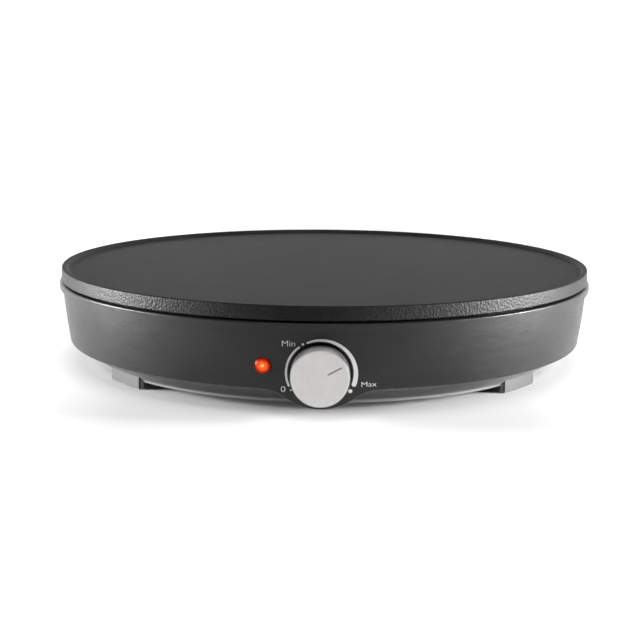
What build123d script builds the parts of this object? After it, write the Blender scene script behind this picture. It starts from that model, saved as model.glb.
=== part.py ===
"""Electric crepe maker: a round cast griddle plate on a low plastic base with a rotary thermostat.

Frame: millimetres, +Z up, table at z = 0, the plate's axis is the Z axis and the knob faces -Y.
Every separate piece is its own solid and goes to parts/NODE.step.
"""

from build123d import *
from math import asin, atan2, cos, degrees, hypot, radians, sin, sqrt, tan
import os

# ---------------------------------------------------------------- driving dimensions (mm)
# griddle plate
plate_radius = 155.0  # at the top of the rim
rim_top = 56.0  # height of the rim over the table
rim_land = 2.2  # flat width of the rim
rim_rise = 2.2  # rim over the cooking surface
rim_slope = 2.2  # run of the rim's inner slope
plate_thickness = 4.0
skirt_depth = 7.4  # rim top to the skirt's lower edge
skirt_wall = 3.0
skirt_flare = 0.3  # the skirt's lower edge stands this much further out

# heating element and what holds it
element_ring_radius = 95.0
element_radius = 3.3
element_leg_x = 10.0  # half the distance between the two legs
element_leg_end = 62.0  # y where the sheath ends
element_bend = 11.0  # radius from ring to leg
element_air = 0.1  # sheath to plate
seal_length = 3.0
pin_radius = 1.2
terminal_reach = 5.0  # sheath end to the terminal tab
channel_wall = 1.5
channel_depth = 4.3
channel_air = 0.6
stiffener_count = 12
stiffener_wall = 2.0
stiffener_depth = 3.0
stiffener_air = 2.5  # stiffener end to the housing's flange
clip_angles = (200, 270, 340)
clip_inset = 10.5  # clip screw inside the ring's centreline
clip_sheet = 1.0
clip_width = 9.0
clip_boss_radius = 3.5
earth_point = (34.0, 66.0, 0.0)
earth_boss_radius = 4.0
earth_tongue = 0.8

# plate mounting
mount_angles = (45, 135, 225, 315)
mount_boss_radius = 6.0
mount_washer = 1.0
mount_inset = 7.0  # screw to the flange's inner edge
lug_thickness = 2.5
lug_width = 18.0
lug_drop = 7.8  # plate's underside to the lug's top

# heat reflector
reflector_radius = 122.0
reflector_sheet = 0.6
reflector_rim = 4.5
reflector_air = 3.6  # element to reflector
reflector_post_radius = 4.5
reflector_post_at = 60.0
reflector_angles = (30, 150, 270)
bead_inner, bead_outer, bead_drop = 68.0, 76.0, 1.2

# housing
plate_gap = 1.0  # shadow gap under the plate's skirt
lip_overhang = 1.4  # lip outside the plate's rim
lip_height = 3.4
waist_step = 2.0  # waist inside the lip
waist_drop = 2.8  # waist below the lip
belly_step, belly_height = 3.0, 28.0
belly_round = 300.0
seam_step, seam_height = 5.2, 13.4  # lower edge of the wall
seam_round = 0.4
housing_wall = 2.6
flange_width = 14.4
flange_thickness = 2.4
upstand_air, upstand_wall, upstand_rise = 3.9, 2.0, 1.4

# lobe: the wall dips below the seam under the knob
lobe_bottom = 3.7
lobe_arc = 28.5
lobe_blend = 19.0
lobe_wall = 2.4
lobe_air = 0.3
lobe_floor_half = 21.0
lobe_setback = 1.8  # tray's lip to the back of the lobe's notch

# base tray
tray_band = 14.0  # run of the coved band from the seam to the floor
tray_knee_run, tray_knee_drop = 7.7, 2.4  # where the cove's two tangents meet, from the rim
tray_cove = 28.0
tray_lip_lean, tray_lip_rise, tray_lip_round = 0.4, 1.3, 0.6  # upright lip at the foot of the band
tray_floor = 3.7
tray_floor_round = 0.8
tray_wall = 2.2
tray_rim_inset = 0.3
spigot_rise = 3.6
spigot_wall = 2.0
spigot_air = 0.3
spigot_gaps = (31.0, 13.0)  # half the gap in the spigot at the knob and at the cord gland
vent_length, vent_width, vent_pitch, vent_count = 34.0, 3.0, 7.0, 7
vent_centres = (-48.0, 48.0)

# feet
foot_angles = (-50, 50, 130, 230)  # from the front, towards +X
foot_overhang = 2.2  # foot outside the tray's floor
foot_depth = 23.0
foot_width = 30.0
foot_underside = 0.3
foot_round = 2.5
pad_length, pad_width, pad_height, pad_round = 20.0, 11.0, 2.2, 3.0
pad_air = 0.15

# tray screws
tray_screw_inset = 11.2  # inside the tray floor's edge
tray_screw_angles = (30, 90, 150, 210, 270, 330)  # from the front
tray_post_radius = 4.2
tray_post_foot = 12.0
tray_post_air = 9.2  # post top to the flange
tray_well_radius = 5.6
tray_well_top = 8.5

# knob
shaft_height = 22.5
knob_radius = 14.4
knob_length = 12.5
knob_wall = 1.6
knob_face_thickness = 1.8
knob_edge = 0.9
knob_air = 0.7  # knob to the recess floor
pointer_inner, pointer_outer, pointer_width, pointer_deep = 4.2, 11.6, 0.7, 0.3
pointer_angle = 28.0  # above the horizontal, on the right
hub_radius = 4.8
hub_reach = 7.5  # hub behind the knob's back edge
hub_ribs = 4
hub_rib_wall, hub_rib_height, hub_rib_air = 1.4, 4.2, 0.9
spring_wall = 0.5
recess_air = 1.2  # round the knob
recess_depth = 0.9  # recess floor inside the seam's radius
recess_wall = 3.1
shaft_hole_air = 1.2

# thermostat
shaft_radius = 3.0
shaft_flat = 0.6
shaft_inset = 4.5  # shaft tip behind the knob's face
shaft_in_body = 7.0
running_air = 0.05
thermostat_setback = 16.3  # recess floor to the thermostat's face
thermostat_size = (30.0, 22.0, 29.0)
thermostat_cup_radius, thermostat_cup_depth = 10.0, 3.0
neck_radius, neck_length = 5.5, 6.0
bracket_size = (47.0, 1.0, 27.0)
bracket_boss_x = 18.6
bracket_boss_radius = 3.2
body_screw_x = 11.0
tab_width, tab_thickness, tab_length = 6.3, 0.8, 10.0
tab_x = 9.0
tab_height = 14.0

# sensing bulb
bulb_radius, bulb_start_x, bulb_end_x, bulb_y = 2.4, -4.0, 40.0, -35.0
bulb_clip_x, bulb_clip_inset = 18.0, 8.5
capillary_radius = 0.9
capillary_hole = (52.5, -44.5, 6.0)  # place and radius of its hole in the reflector

# indicator lamp
lamp_x = -27.7
lamp_height = 25.7
lamp_seat = 1.1  # lens seat outside the seam's radius
lens_radius, lens_rise = 4.3, 1.9
barrel_radius, barrel_bore, barrel_length = 3.7, 2.6, 9.8
lamp_glass_radius, lamp_glass_length = 2.2, 7.5
lamp_ring_radius, lamp_ring_sheet, lamp_ring_air = 5.4, 0.5, 0.3  # air to the wall's inner face

# cord gland
gland_height = 26.0
gland_seat = 0.2  # flange seat outside the seam's radius
gland_wall = 3.4
gland_flange_radius, gland_flange = 8.5, 2.6
gland_nose_radius, gland_tip_radius, gland_nose = 7.0, 5.6, 12.1
gland_thread_radius, gland_thread = 5.9, 10.4
gland_bore = 3.6
gland_nut_flats, gland_nut_height = 15.0, 4.0

# terminal block
block_size = (36.0, 16.0, 13.0)
block_setback = 39.4  # gland seat to the block
block_foot = 9.0
block_pole_pitch = 11.0
block_pole_radius, block_pole_bore = 2.6, 1.5
block_pole_rise = 5.5
block_screw_x = 5.5
block_post_radius = 4.0

# thermal fuse
fuse_y = (34.0, 46.0)
fuse_radius, fuse_lead = 2.0, 0.6
fuse_sleeve_radius, fuse_sleeve_bore, fuse_sleeve_y = 2.7, 2.1, (30.0, 49.0)
fuse_clip_y, fuse_clip_inset = 40.0, 8.5
fuse_tail = 8.0

# wiring
lead_radius = 1.3
lamp_lead_radius = 0.8

# screws: shank radius, shank length, head radius, head height
m4_screw = (1.95, 8.5, 3.8, 2.5)
m3_screw = (1.45, 5.5, 2.8, 2.0)
tray_screw = (1.5, 15.5, 3.2, 2.4)
block_bolt = (1.45, 13.8, 1.5, 1.4)
screw_air = 0.05
hole_air = 0.15  # screw through a sheet

# ---------------------------------------------------------------- derived levels, from the top down
cooking_top = rim_top - rim_rise
plate_under = cooking_top - plate_thickness
skirt_foot = rim_top - skirt_depth
element_height = plate_under - element_air - element_radius
element_under = element_height - element_radius
bulb_height = plate_under - element_air - bulb_radius
fuse_height = element_height
reflector_top = element_under - reflector_air
lug_top = plate_under - lug_drop
mount_boss_foot = lug_top + mount_washer
lip_top = skirt_foot - plate_gap
lip_foot = lip_top - lip_height
waist_height = lip_foot - waist_drop
flange_under = lip_top - flange_thickness
tray_post_top = flange_under - tray_post_air
block_pole_height = block_foot + block_pole_rise

# ---------------------------------------------------------------- derived radii, from the rim inwards
skirt_radius = plate_radius + skirt_flare
lip_radius = plate_radius + lip_overhang
waist_radius = lip_radius - waist_step
belly_radius = lip_radius - belly_step
seam_radius = lip_radius - seam_step
flange_inner = waist_radius - flange_width
upstand_radius = skirt_radius - skirt_wall - upstand_air
mount_radius = flange_inner - mount_inset
tray_rim_radius = seam_radius - tray_rim_inset
tray_floor_radius = seam_radius - tray_band
spigot_radius = seam_radius - housing_wall - spigot_air
foot_outer_radius = tray_floor_radius + foot_overhang
tray_screw_at = tray_floor_radius - tray_screw_inset
lamp_seat_radius = seam_radius + lamp_seat
barrel_back = lamp_seat_radius - barrel_length
lamp_ring_at = lamp_seat_radius - housing_wall - lamp_ring_air
lamp_turn = degrees(asin(lamp_x / lamp_seat_radius))
seam_slope = (seam_radius - belly_radius) / (seam_height - belly_height)
waist_slope = (waist_radius - belly_radius) / (waist_height - belly_height)
belly_turn = atan2(seam_slope, 1) - atan2(waist_slope, 1)
belly_room = 0.9 * min(belly_height - seam_height, waist_height - belly_height)
belly_arc = min(belly_round, belly_room / tan(abs(belly_turn) / 2))
tray_lip_radius, tray_lip_top = tray_floor_radius + tray_lip_lean, tray_floor + tray_lip_rise
tray_knee = tray_rim_radius - tray_knee_run, seam_height - tray_knee_drop
upper_slope = tray_knee_drop / tray_knee_run
lower_run, lower_rise = tray_knee[0] - tray_lip_radius, tray_knee[1] - tray_lip_top
lower_slope = lower_rise / lower_run
cove_turn = atan2(lower_slope, 1) - atan2(upper_slope, 1)
cove_room = 0.93 * min(hypot(tray_knee_run, tray_knee_drop), hypot(lower_run, lower_rise))
cove_arc = min(tray_cove, cove_room / tan(abs(cove_turn) / 2))

# ---------------------------------------------------------------- derived places, from front to back
recess_radius = knob_radius + recess_air
recess_floor_y = recess_depth - seam_radius
recess_back_y = recess_floor_y + recess_wall
knob_back_y = recess_floor_y - knob_air
knob_face_y = knob_back_y - knob_length
hub_back_y = knob_back_y + hub_reach
shaft_front_y = knob_face_y + shaft_inset
thermostat_face_y = recess_floor_y + thermostat_setback
thermostat_back_y = thermostat_face_y + thermostat_size[1]
bracket_front_y = thermostat_face_y - bracket_size[1]
shaft_back_y = thermostat_face_y + shaft_in_body
tab_end_y = thermostat_back_y + tab_length
lobe_back_y = -tray_floor_radius - lobe_setback
seal_end_y = element_leg_end - seal_length
terminal_tab_y = element_leg_end - terminal_reach
gland_seat_y = seam_radius + gland_seat
gland_pad_y = gland_seat_y - gland_wall
gland_tip_y = gland_seat_y + gland_nose
gland_back_y = gland_seat_y - gland_thread
block_y = gland_seat_y - block_setback
fuse_end_y = fuse_y[0] - fuse_tail


# ---------------------------------------------------------------- helpers
def turned(*corners):
    """A solid of revolution about Z from (radius, height, rounding) corners."""
    points = [(r, z) for r, z, _ in corners]
    rounding = [c for _, _, c in corners]
    outline = make_face(FilletPolyline(*points, radius=rounding, close=True))
    return revolve(Plane.XZ * outline, axis=Axis.Z)


def rod(start, end, radius):
    """A round bar between two points."""
    run = Vector(*end) - Vector(*start)
    return extrude(Plane(origin=start, z_dir=run) * Circle(radius), amount=run.length)


def block(x, y, z):
    """A box between (low, high) pairs."""
    size = [high - low for low, high in (x, y, z)]
    centre = [(low + high) / 2 for low, high in (x, y, z)]
    return Pos(*centre) * Box(*size)


def polar(radius, angle, z=0.0):
    """A point at an angle from +X."""
    return (radius * cos(radians(angle)), radius * sin(radians(angle)), z)


def from_front(radius, angle, z=0.0):
    """A point at an angle from the front, towards +X."""
    return (radius * sin(radians(angle)), -radius * cos(radians(angle)), z)


def screw(size):
    """A pan-head screw: shank up from z = 0, head below it, with a cross recess."""
    shank_radius, shank_length, head_radius, head_height = size
    head = turned(
        (0, 0, 0),
        (0, -head_height, 0),
        (0.8 * head_radius, -head_height, 0),
        (head_radius, -0.55 * head_height, 0),
        (head_radius, 0, 0),
    )
    slot_long, slot_wide, slot_deep = 1.1 * head_radius, 0.28 * head_radius, 0.5 * head_height
    slot = Pos(0, 0, slot_deep / 2 - head_height)
    cross = slot * Box(slot_long, slot_wide, slot_deep) + slot * Box(slot_wide, slot_long, slot_deep)
    return head + Pos(0, 0, shank_length / 2) * Cylinder(shank_radius, shank_length) - cross


def bend_radii(points, share=0.45):
    """The largest tangent arcs that fit the corners of a route."""
    radii = []
    for before, corner, after in zip(points, points[1:], points[2:]):
        run_in = Vector(*corner) - Vector(*before)
        run_out = Vector(*after) - Vector(*corner)
        half_turn = radians(run_in.get_angle(run_out)) / 2
        radii.append(share * min(run_in.length, run_out.length) / tan(half_turn))
    return radii


def lead(name, points, radius):
    """An insulated lead or a thin tube along a route of straight runs and tangent arcs."""
    radii = bend_radii(points)
    path = FilletPolyline(*points, radius=radii)
    tube = sweep(Plane(origin=path @ 0, z_dir=path % 0) * Circle(radius), path=path)
    expected = 3.14159265 * radius**2 * path.length
    print(
        f"{name}: length {path.length:.0f} mm, tightest bend {min(radii):.1f} mm,"
        f" volume {tube.volume / expected:.4f} of section times length"
    )
    return tube


def wall_form(outset=0.0):
    """The space inside the housing's outer surface up into the flange, filled to the axis."""
    return turned(
        (0, seam_height, 0),
        (seam_radius + outset, seam_height, 0),
        (belly_radius + outset, belly_height, belly_arc),
        (waist_radius + outset, waist_height, 0),
        (waist_radius + outset, flange_under + 1, 0),
        (0, flange_under + 1, 0),
    )


def tray_form():
    """The space inside the tray's outer surface, filled to the axis, without the spigot."""
    return turned(
        (0, tray_floor, 0),
        (tray_floor_radius, tray_floor, tray_floor_round),
        (tray_lip_radius, tray_lip_top, tray_lip_round),
        (*tray_knee, cove_arc),
        (tray_rim_radius, seam_height, 0),
        (0, seam_height, 0),
    )


# ---------------------------------------------------------------- griddle
def griddle_plate():
    """Cast plate: raised rim, outer skirt, element channel, stiffeners and screw bosses."""
    inner_rim = plate_radius - rim_land
    plate = turned(
        (0, cooking_top, 0),
        (inner_rim - rim_slope, cooking_top, 2.0),
        (inner_rim, rim_top, 0.8),
        (plate_radius, rim_top, 1.0),
        (skirt_radius, skirt_foot, 0.6),
        (skirt_radius - skirt_wall, skirt_foot, 0.4),
        (skirt_radius - skirt_wall - 0.5, plate_under, 0.4),
        (0, plate_under, 0),
    )
    channel_foot = plate_under - channel_depth
    for inner in (
        element_ring_radius - element_radius - channel_air - channel_wall,
        element_ring_radius + element_radius + channel_air,
    ):
        plate += turned(
            (inner, plate_under, 0),
            (inner, channel_foot, 0),
            (inner + channel_wall, channel_foot, 0),
            (inner + channel_wall, plate_under, 0),
        )
    leg_room = element_leg_x + element_bend + element_radius + channel_air
    legs = ((-leg_room, leg_room), (0, element_ring_radius), (channel_foot - 1, plate_under))
    plate -= block(*legs)
    stiffener_start = element_ring_radius + element_radius + channel_air + channel_wall
    for i in range(stiffener_count):
        plate += Rot(0, 0, (i + 0.5) * 360 / stiffener_count) * block(
            (stiffener_start - 0.5, flange_inner - stiffener_air),
            (-stiffener_wall / 2, stiffener_wall / 2),
            (plate_under - stiffener_depth, plate_under + 0.5),
        )
    bosses = [(polar(mount_radius, a), mount_boss_radius, mount_boss_foot, m4_screw) for a in mount_angles]
    bosses += [
        (polar(reflector_post_at, a), reflector_post_radius, reflector_top, m3_screw)
        for a in reflector_angles
    ]
    bosses += [(at, clip_boss_radius, foot, m3_screw) for at, foot, _ in clip_places()]
    bosses.append((earth_point, earth_boss_radius, element_under, m3_screw))
    for (x, y, _), radius, foot, size in bosses:
        plate += rod((x, y, foot), (x, y, plate_under + 1), radius)
        plate -= rod((x, y, foot), (x, y, min(foot + size[1], plate_under + 1)), size[0] + screw_air)
    return plate


def clip_places():
    """Each clip's screw point, the level of its sheet's top, and its turn about Z."""
    places = [(polar(element_ring_radius - clip_inset, a), element_under, a) for a in clip_angles]
    bulb_screw = (bulb_clip_x, bulb_y - bulb_clip_inset, 0)
    fuse_screw = (-element_leg_x - fuse_clip_inset, fuse_clip_y, 0)
    places.append((bulb_screw, bulb_height - bulb_radius, 90))
    places.append((fuse_screw, fuse_height - fuse_sleeve_radius, 0))
    return places


def heating_element():
    """Sheathed tube: a ring with two legs turned in at the back."""
    arc_x = element_leg_x + element_bend
    arc_y = sqrt((element_ring_radius - element_bend) ** 2 - arc_x**2)
    ring_start = degrees(atan2(arc_y, -arc_x))
    leg_in = Line((-element_leg_x, element_leg_end), (-element_leg_x, arc_y))
    bend_in = CenterArc((-arc_x, arc_y), element_bend, 0, ring_start)
    ring = CenterArc((0, 0), element_ring_radius, ring_start, 540 - 2 * ring_start)
    bend_out = CenterArc((arc_x, arc_y), element_bend, 180 - ring_start, ring_start)
    leg_out = Line((element_leg_x, arc_y), (element_leg_x, element_leg_end))
    path = Pos(0, 0, element_height) * Wire([leg_in, bend_in, ring, bend_out, leg_out])
    return sweep(Plane(origin=path @ 0, z_dir=path % 0) * Circle(element_radius), path=path)


def leg_rod(x, start_y, end_y, radius):
    """A round bar along one of the element's legs."""
    return rod((x, start_y, element_height), (x, end_y, element_height), radius)


def element_seals():
    """The two end seals of the sheath."""
    legs = (-element_leg_x, element_leg_x)
    return Part() + [leg_rod(x, element_leg_end, seal_end_y, element_radius) for x in legs]


def element_terminals():
    """Cold pins: the right one with a tab turned down, the left one with a crimp for the fuse."""
    right = leg_rod(element_leg_x, seal_end_y, terminal_tab_y, pin_radius)
    right += block(
        (element_leg_x - tab_width / 2, element_leg_x + tab_width / 2),
        (terminal_tab_y - tab_thickness / 2, terminal_tab_y + tab_thickness / 2),
        (element_height - tab_length, element_height + 1.6),
    )
    crimp_y = fuse_y[1] + fuse_tail
    left = leg_rod(-element_leg_x, seal_end_y, crimp_y + 2, pin_radius)
    left += leg_rod(-element_leg_x, crimp_y + 2, crimp_y - 3, 1.9)
    left -= leg_rod(-element_leg_x, crimp_y - 3, crimp_y, fuse_lead + screw_air)
    return Part() + [right, left]


def clip(reach, width, top):
    """A sheet clip: screw hole at the origin, reaching out along X."""
    sheet = block((-4, reach), (-width / 2, width / 2), (top - clip_sheet, top))
    sheet = fillet(sheet.edges().filter_by(Axis.Z), 2.0)
    return sheet - rod((0, 0, top - clip_sheet), (0, 0, top), m3_screw[0] + hole_air)


def clips(places, reach, width):
    """Sheet clips at some of the clip places."""
    return [Pos(at[0], at[1], 0) * Rot(0, 0, turn) * clip(reach, width, top) for at, top, turn in places]


def clip_screws():
    """The screws of every clip."""
    return Part() + [Pos(at[0], at[1], top - clip_sheet) * screw(m3_screw) for at, top, _ in clip_places()]


def heat_reflector():
    """Pressed dish under the element, with a bead, a turned-up rim and holes for the leads."""
    top, under = reflector_top, reflector_top - reflector_sheet
    inner = reflector_radius - reflector_sheet
    dish = turned(
        (0, under, 0),
        (bead_inner, under, 0.6),
        (bead_inner + 1.5, under - bead_drop, 0.6),
        (bead_outer - 1.5, under - bead_drop, 0.6),
        (bead_outer, under, 0.6),
        (reflector_radius, under, 1.2),
        (reflector_radius, top + reflector_rim, 0),
        (inner, top + reflector_rim, 0),
        (inner, top, 0.6),
        (bead_outer, top, 0.6),
        (bead_outer - 1.5, top - bead_drop, 0.6),
        (bead_inner + 1.5, top - bead_drop, 0.6),
        (bead_inner, top, 0.6),
        (0, top, 0),
    )
    low, high = under - bead_drop - 1, top + 1
    window = fillet(block((-22, 46), (41, 88), (low, high)).edges().filter_by(Axis.Z), 4)
    dish -= window
    dish -= rod((-element_leg_x, 7.5, low), (-element_leg_x, 7.5, high), 6)
    tube_x, tube_y, tube_hole = capillary_hole
    dish -= rod((tube_x, tube_y, low), (tube_x, tube_y, high), tube_hole)
    for angle in reflector_angles:
        x, y, _ = polar(reflector_post_at, angle)
        dish -= rod((x, y, low), (x, y, high), m3_screw[0] + hole_air)
    return dish


def reflector_screws():
    """Screws that hold the reflector to its three posts."""
    under = reflector_top - reflector_sheet
    return Part() + [Pos(*polar(reflector_post_at, a, under)) * screw(m3_screw) for a in reflector_angles]


def plate_washers():
    """Insulating washers between the plate's bosses and the housing's lugs."""
    ring = Cylinder(mount_boss_radius, mount_washer) - Cylinder(m4_screw[0] + 0.25, mount_washer)
    return Part() + [Pos(*polar(mount_radius, a, lug_top + mount_washer / 2)) * ring for a in mount_angles]


def plate_screws():
    """Screws that hold the plate down on the lugs."""
    under = lug_top - lug_thickness
    return Part() + [Pos(*polar(mount_radius, a, under)) * screw(m4_screw) for a in mount_angles]


# ---------------------------------------------------------------- housing
def lobe_edge():
    """Lower edge of the lobe: an arc round the knob, blended into the seam line on both sides."""
    centre_z = lobe_bottom + lobe_arc
    blend_z = seam_height - lobe_blend
    blend_x = sqrt((lobe_arc + lobe_blend) ** 2 - (centre_z - blend_z) ** 2)
    share = lobe_arc / (lobe_arc + lobe_blend)
    join_x = blend_x * share
    join_z = centre_z + (blend_z - centre_z) * share
    blend_in = TangentArc((-blend_x, seam_height), (-join_x, join_z), tangent=(1, 0))
    under = TangentArc(blend_in @ 1, (join_x, join_z), tangent=blend_in % 1)
    blend_out = TangentArc(under @ 1, (blend_x, seam_height), tangent=under % 1)
    return blend_in, under, blend_out


def lobe_outline():
    """The lobe from its lower edge up to the seam line."""
    edge = lobe_edge()
    return make_face([*edge, Line(edge[2] @ 1, edge[0] @ 0)])


def outside_lobe():
    """Everything below the seam line except the lobe."""
    edge = lobe_edge()
    far, low = 2 * plate_radius, lobe_bottom - 2
    corners = (far, seam_height), (far, low), (-far, low), (-far, seam_height)
    frame = Polyline(edge[2] @ 1, *corners, edge[0] @ 0)
    front = extrude(Plane.XZ * make_face([*edge, frame]), amount=far)
    return front + block((-far, far), (0, far), (low, seam_height))


def wall_below_seam(radius):
    """The slope of the wall carried on below the seam, filled to the axis."""
    return turned(
        (0, lobe_bottom, 0),
        (radius + (lobe_bottom - seam_height) * seam_slope, lobe_bottom, 0),
        (radius, seam_height, 0),
        (0, seam_height, 0),
    )


def lobe_floor():
    """The lobe's hollow back, from the wall to the tray."""
    outline = lobe_outline()
    hollow = offset(outline, -lobe_wall, kind=Kind.ARC)
    hollow += Pos(0, seam_height) * Rectangle(2 * (lobe_floor_half - lobe_wall), 2 * lobe_wall)
    room = block(
        (-lobe_floor_half, lobe_floor_half), (-plate_radius, lobe_back_y - lobe_air), (0, seam_height)
    )
    scoop = extrude(Plane.XZ * outline, amount=plate_radius) & wall_below_seam(seam_radius - housing_wall / 2)
    inside = extrude(Plane.XZ * hollow, amount=plate_radius) & wall_below_seam(seam_radius - housing_wall)
    return (scoop & room) - inside


def front_rod(x, start_y, end_y, radius):
    """A round bar along Y at the shaft's height."""
    return rod((x, start_y, shaft_height), (x, end_y, shaft_height), radius)


def gland_rod(start_y, end_y, radius):
    """A round bar along the cord gland's axis."""
    return rod((0, start_y, gland_height), (0, end_y, gland_height), radius)


def lower_outer_edges(body):
    """The edges along the seam and round the lobe's outline."""

    def is_outer(edge):
        middle = edge.position_at(0.5)
        outside = sqrt(middle.X**2 + middle.Y**2) > seam_radius - housing_wall / 2
        return outside and middle.Z < seam_height + 0.01

    return body.edges().filter_by(is_outer)


def housing():
    """Moulded ring: belly wall, proud lip, inner flange, lobe, lugs, posts and seats."""
    low_radius = seam_radius + (lobe_bottom - seam_height) * seam_slope
    wall = turned(
        (low_radius, lobe_bottom, 0),
        (belly_radius, belly_height, belly_arc),
        (waist_radius, waist_height, 3.0),
        (lip_radius, lip_foot, 2.0),
        (lip_radius, lip_top, 1.0),
        (upstand_radius, lip_top, 0),
        (upstand_radius, lip_top + upstand_rise, 0),
        (upstand_radius - upstand_wall, lip_top + upstand_rise, 0),
        (upstand_radius - upstand_wall, lip_top, 0),
        (flange_inner, lip_top, 0),
        (flange_inner, lip_top - flange_thickness, 0),
        (waist_radius - housing_wall, lip_top - flange_thickness, 1.5),
        (belly_radius - housing_wall, belly_height, belly_arc),
        (low_radius - housing_wall, lobe_bottom, 0),
    )
    inner = Part()
    for angle in mount_angles:
        across = (-lug_width / 2, lug_width / 2)
        lug = block((mount_radius - 8, waist_radius), across, (lug_top - lug_thickness, lug_top))
        web = block((flange_inner + 1, waist_radius), across, (lug_top, flange_under + 1))
        inner += Rot(0, 0, angle) * (lug + web)
    for angle in tray_screw_angles:
        turn = Rot(0, 0, angle - 90)
        post_foot, post_top = (tray_screw_at, 0, tray_post_foot), (tray_screw_at, 0, tray_post_top)
        inner += turn * rod(post_foot, post_top, tray_post_radius)
        inner += turn * block((tray_screw_at, waist_radius), (-1, 1), (seam_height + 7, tray_post_top))
    inner += front_rod(0, recess_back_y, -plate_radius, recess_radius + housing_wall)
    for x in (-bracket_boss_x, bracket_boss_x):
        inner += front_rod(x, bracket_front_y, -plate_radius, bracket_boss_radius)
    inner += gland_rod(gland_pad_y, plate_radius, gland_flange_radius + 2.5)
    body = (wall - outside_lobe()) + (inner & wall_form(-0.6)) + lobe_floor()
    body = fillet(lower_outer_edges(body), seam_round)
    # cuts
    shaft_hole = hub_radius + shaft_hole_air
    body -= front_rod(0, recess_floor_y, -plate_radius - 9, recess_radius)
    body -= front_rod(0, recess_back_y + 1, -plate_radius, shaft_hole)
    for start, radius in ((lamp_seat_radius - 6, barrel_radius + 0.1), (lamp_seat_radius, lens_radius + 0.2)):
        body -= at_lamp() * rod((0, 0, start), (0, 0, plate_radius + 5), radius)
    body -= gland_rod(gland_seat_y, plate_radius, gland_flange_radius + 0.5)
    body -= gland_rod(gland_pad_y - 1, plate_radius, gland_thread_radius + 0.1)
    for x in (-bracket_boss_x, bracket_boss_x):
        body -= front_rod(x, bracket_front_y, bracket_front_y - 9, m3_screw[0] + screw_air)
    for angle in mount_angles:
        x, y, _ = polar(mount_radius, angle)
        body -= rod((x, y, lug_top - lug_thickness - 1), (x, y, lug_top + 0.5), m4_screw[0] + 0.25)
    for angle in tray_screw_angles:
        x, y, _ = from_front(tray_screw_at, angle)
        screw_end = tray_well_top + tray_screw[1] + 1
        body -= rod((x, y, tray_post_foot), (x, y, screw_end), tray_screw[0] + screw_air)
    return body


# ---------------------------------------------------------------- base tray
def base_tray():
    """Moulded bottom: floor, coved band, spigot, four feet, screw wells and vents."""
    floor_top = tray_floor + tray_wall
    lower = tray_lip_top - lower_slope * tray_lip_radius + tray_wall * hypot(1, lower_slope)
    upper = seam_height - upper_slope * tray_rim_radius + tray_wall * hypot(1, upper_slope)
    knee = (upper - lower) / (lower_slope - upper_slope)
    spigot_inner = spigot_radius - spigot_wall
    outside = tray_form() + Pos(0, 0, seam_height + spigot_rise / 2) * Cylinder(spigot_radius, spigot_rise)
    filled = outside
    for angle in foot_angles:
        foot = Pos(foot_outer_radius - foot_depth / 2, 0, 0) * block(
            (-foot_depth / 2, foot_depth / 2),
            (-foot_width / 2, foot_width / 2),
            (foot_underside, 0.6 * seam_height),
        )
        foot = fillet(foot.edges().filter_by(Axis.Z), foot_round)
        outside += Rot(0, 0, angle - 90) * (foot & Cylinder(foot_outer_radius, 4 * seam_height))
    inside = turned(
        (0, floor_top, 0),
        ((floor_top - lower) / lower_slope, floor_top, 2.0),
        (knee, lower + lower_slope * knee, cove_arc / 2),
        (spigot_inner, upper + upper_slope * spigot_inner, 0),
        (spigot_inner, seam_height + spigot_rise + 1, 0),
        (0, seam_height + spigot_rise + 1, 0),
    )
    tray = outside - inside
    for half, side in zip(spigot_gaps, (-1, 1)):
        gap_y = sorted((side * plate_radius, side * plate_radius / 2))
        tray -= block((-half, half), gap_y, (seam_height, seam_height + spigot_rise + 1))
    notch = Plane(origin=(0, lobe_back_y, 0), x_dir=(1, 0, 0), z_dir=(0, -1, 0))
    tray -= extrude(notch * offset(lobe_outline(), lobe_air, kind=Kind.ARC), amount=-lobe_back_y)
    for angle in tray_screw_angles:
        x, y, _ = from_front(tray_screw_at, angle)
        tray += rod((x, y, tray_floor), (x, y, tray_post_foot), tray_well_radius) & filled
        tray -= rod((x, y, 0), (x, y, tray_well_top), tray_screw[2] + 0.5)
        tray -= rod((x, y, 0), (x, y, tray_post_foot), tray_screw[0] + 0.3)
    for x in (-block_screw_x, block_screw_x):
        tray += rod((x, block_y, tray_floor + 1), (x, block_y, block_foot), block_post_radius)
    screw_room = (block_screw_x, block_y, tray_floor + 1), (block_screw_x, block_y, block_foot)
    tray -= rod(*screw_room, block_bolt[0] + screw_air)
    for angle in foot_angles:
        tray -= pad_place(angle) * pad_solid(pad_air, foot_underside, pad_height)
    for centre in vent_centres:
        for i in range(vent_count):
            y = (i - (vent_count - 1) / 2) * vent_pitch
            slot = extrude(SlotOverall(vent_length, vent_width), amount=3 * tray_wall)
            tray -= Pos(centre, y, tray_floor - tray_wall) * slot
    return tray


def pad_place(angle):
    """Where a foot pad sits on its foot."""
    return Pos(*from_front(foot_outer_radius - foot_depth / 2, angle)) * Rot(0, 0, angle)


def pad_solid(air, low, high):
    """A rounded pad, grown by the air around it."""
    shape = RectangleRounded(pad_length + 2 * air, pad_width + 2 * air, pad_round)
    return Pos(0, 0, low) * extrude(shape, amount=high - low)


def foot_pad(angle):
    """A rubber pad pressed into a foot."""
    return pad_place(angle) * pad_solid(0, 0, pad_height)


def tray_screws():
    """Screws up through the tray's wells into the housing's posts."""
    return Part() + [
        Pos(*from_front(tray_screw_at, a, tray_well_top)) * screw(tray_screw) for a in tray_screw_angles
    ]


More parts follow.
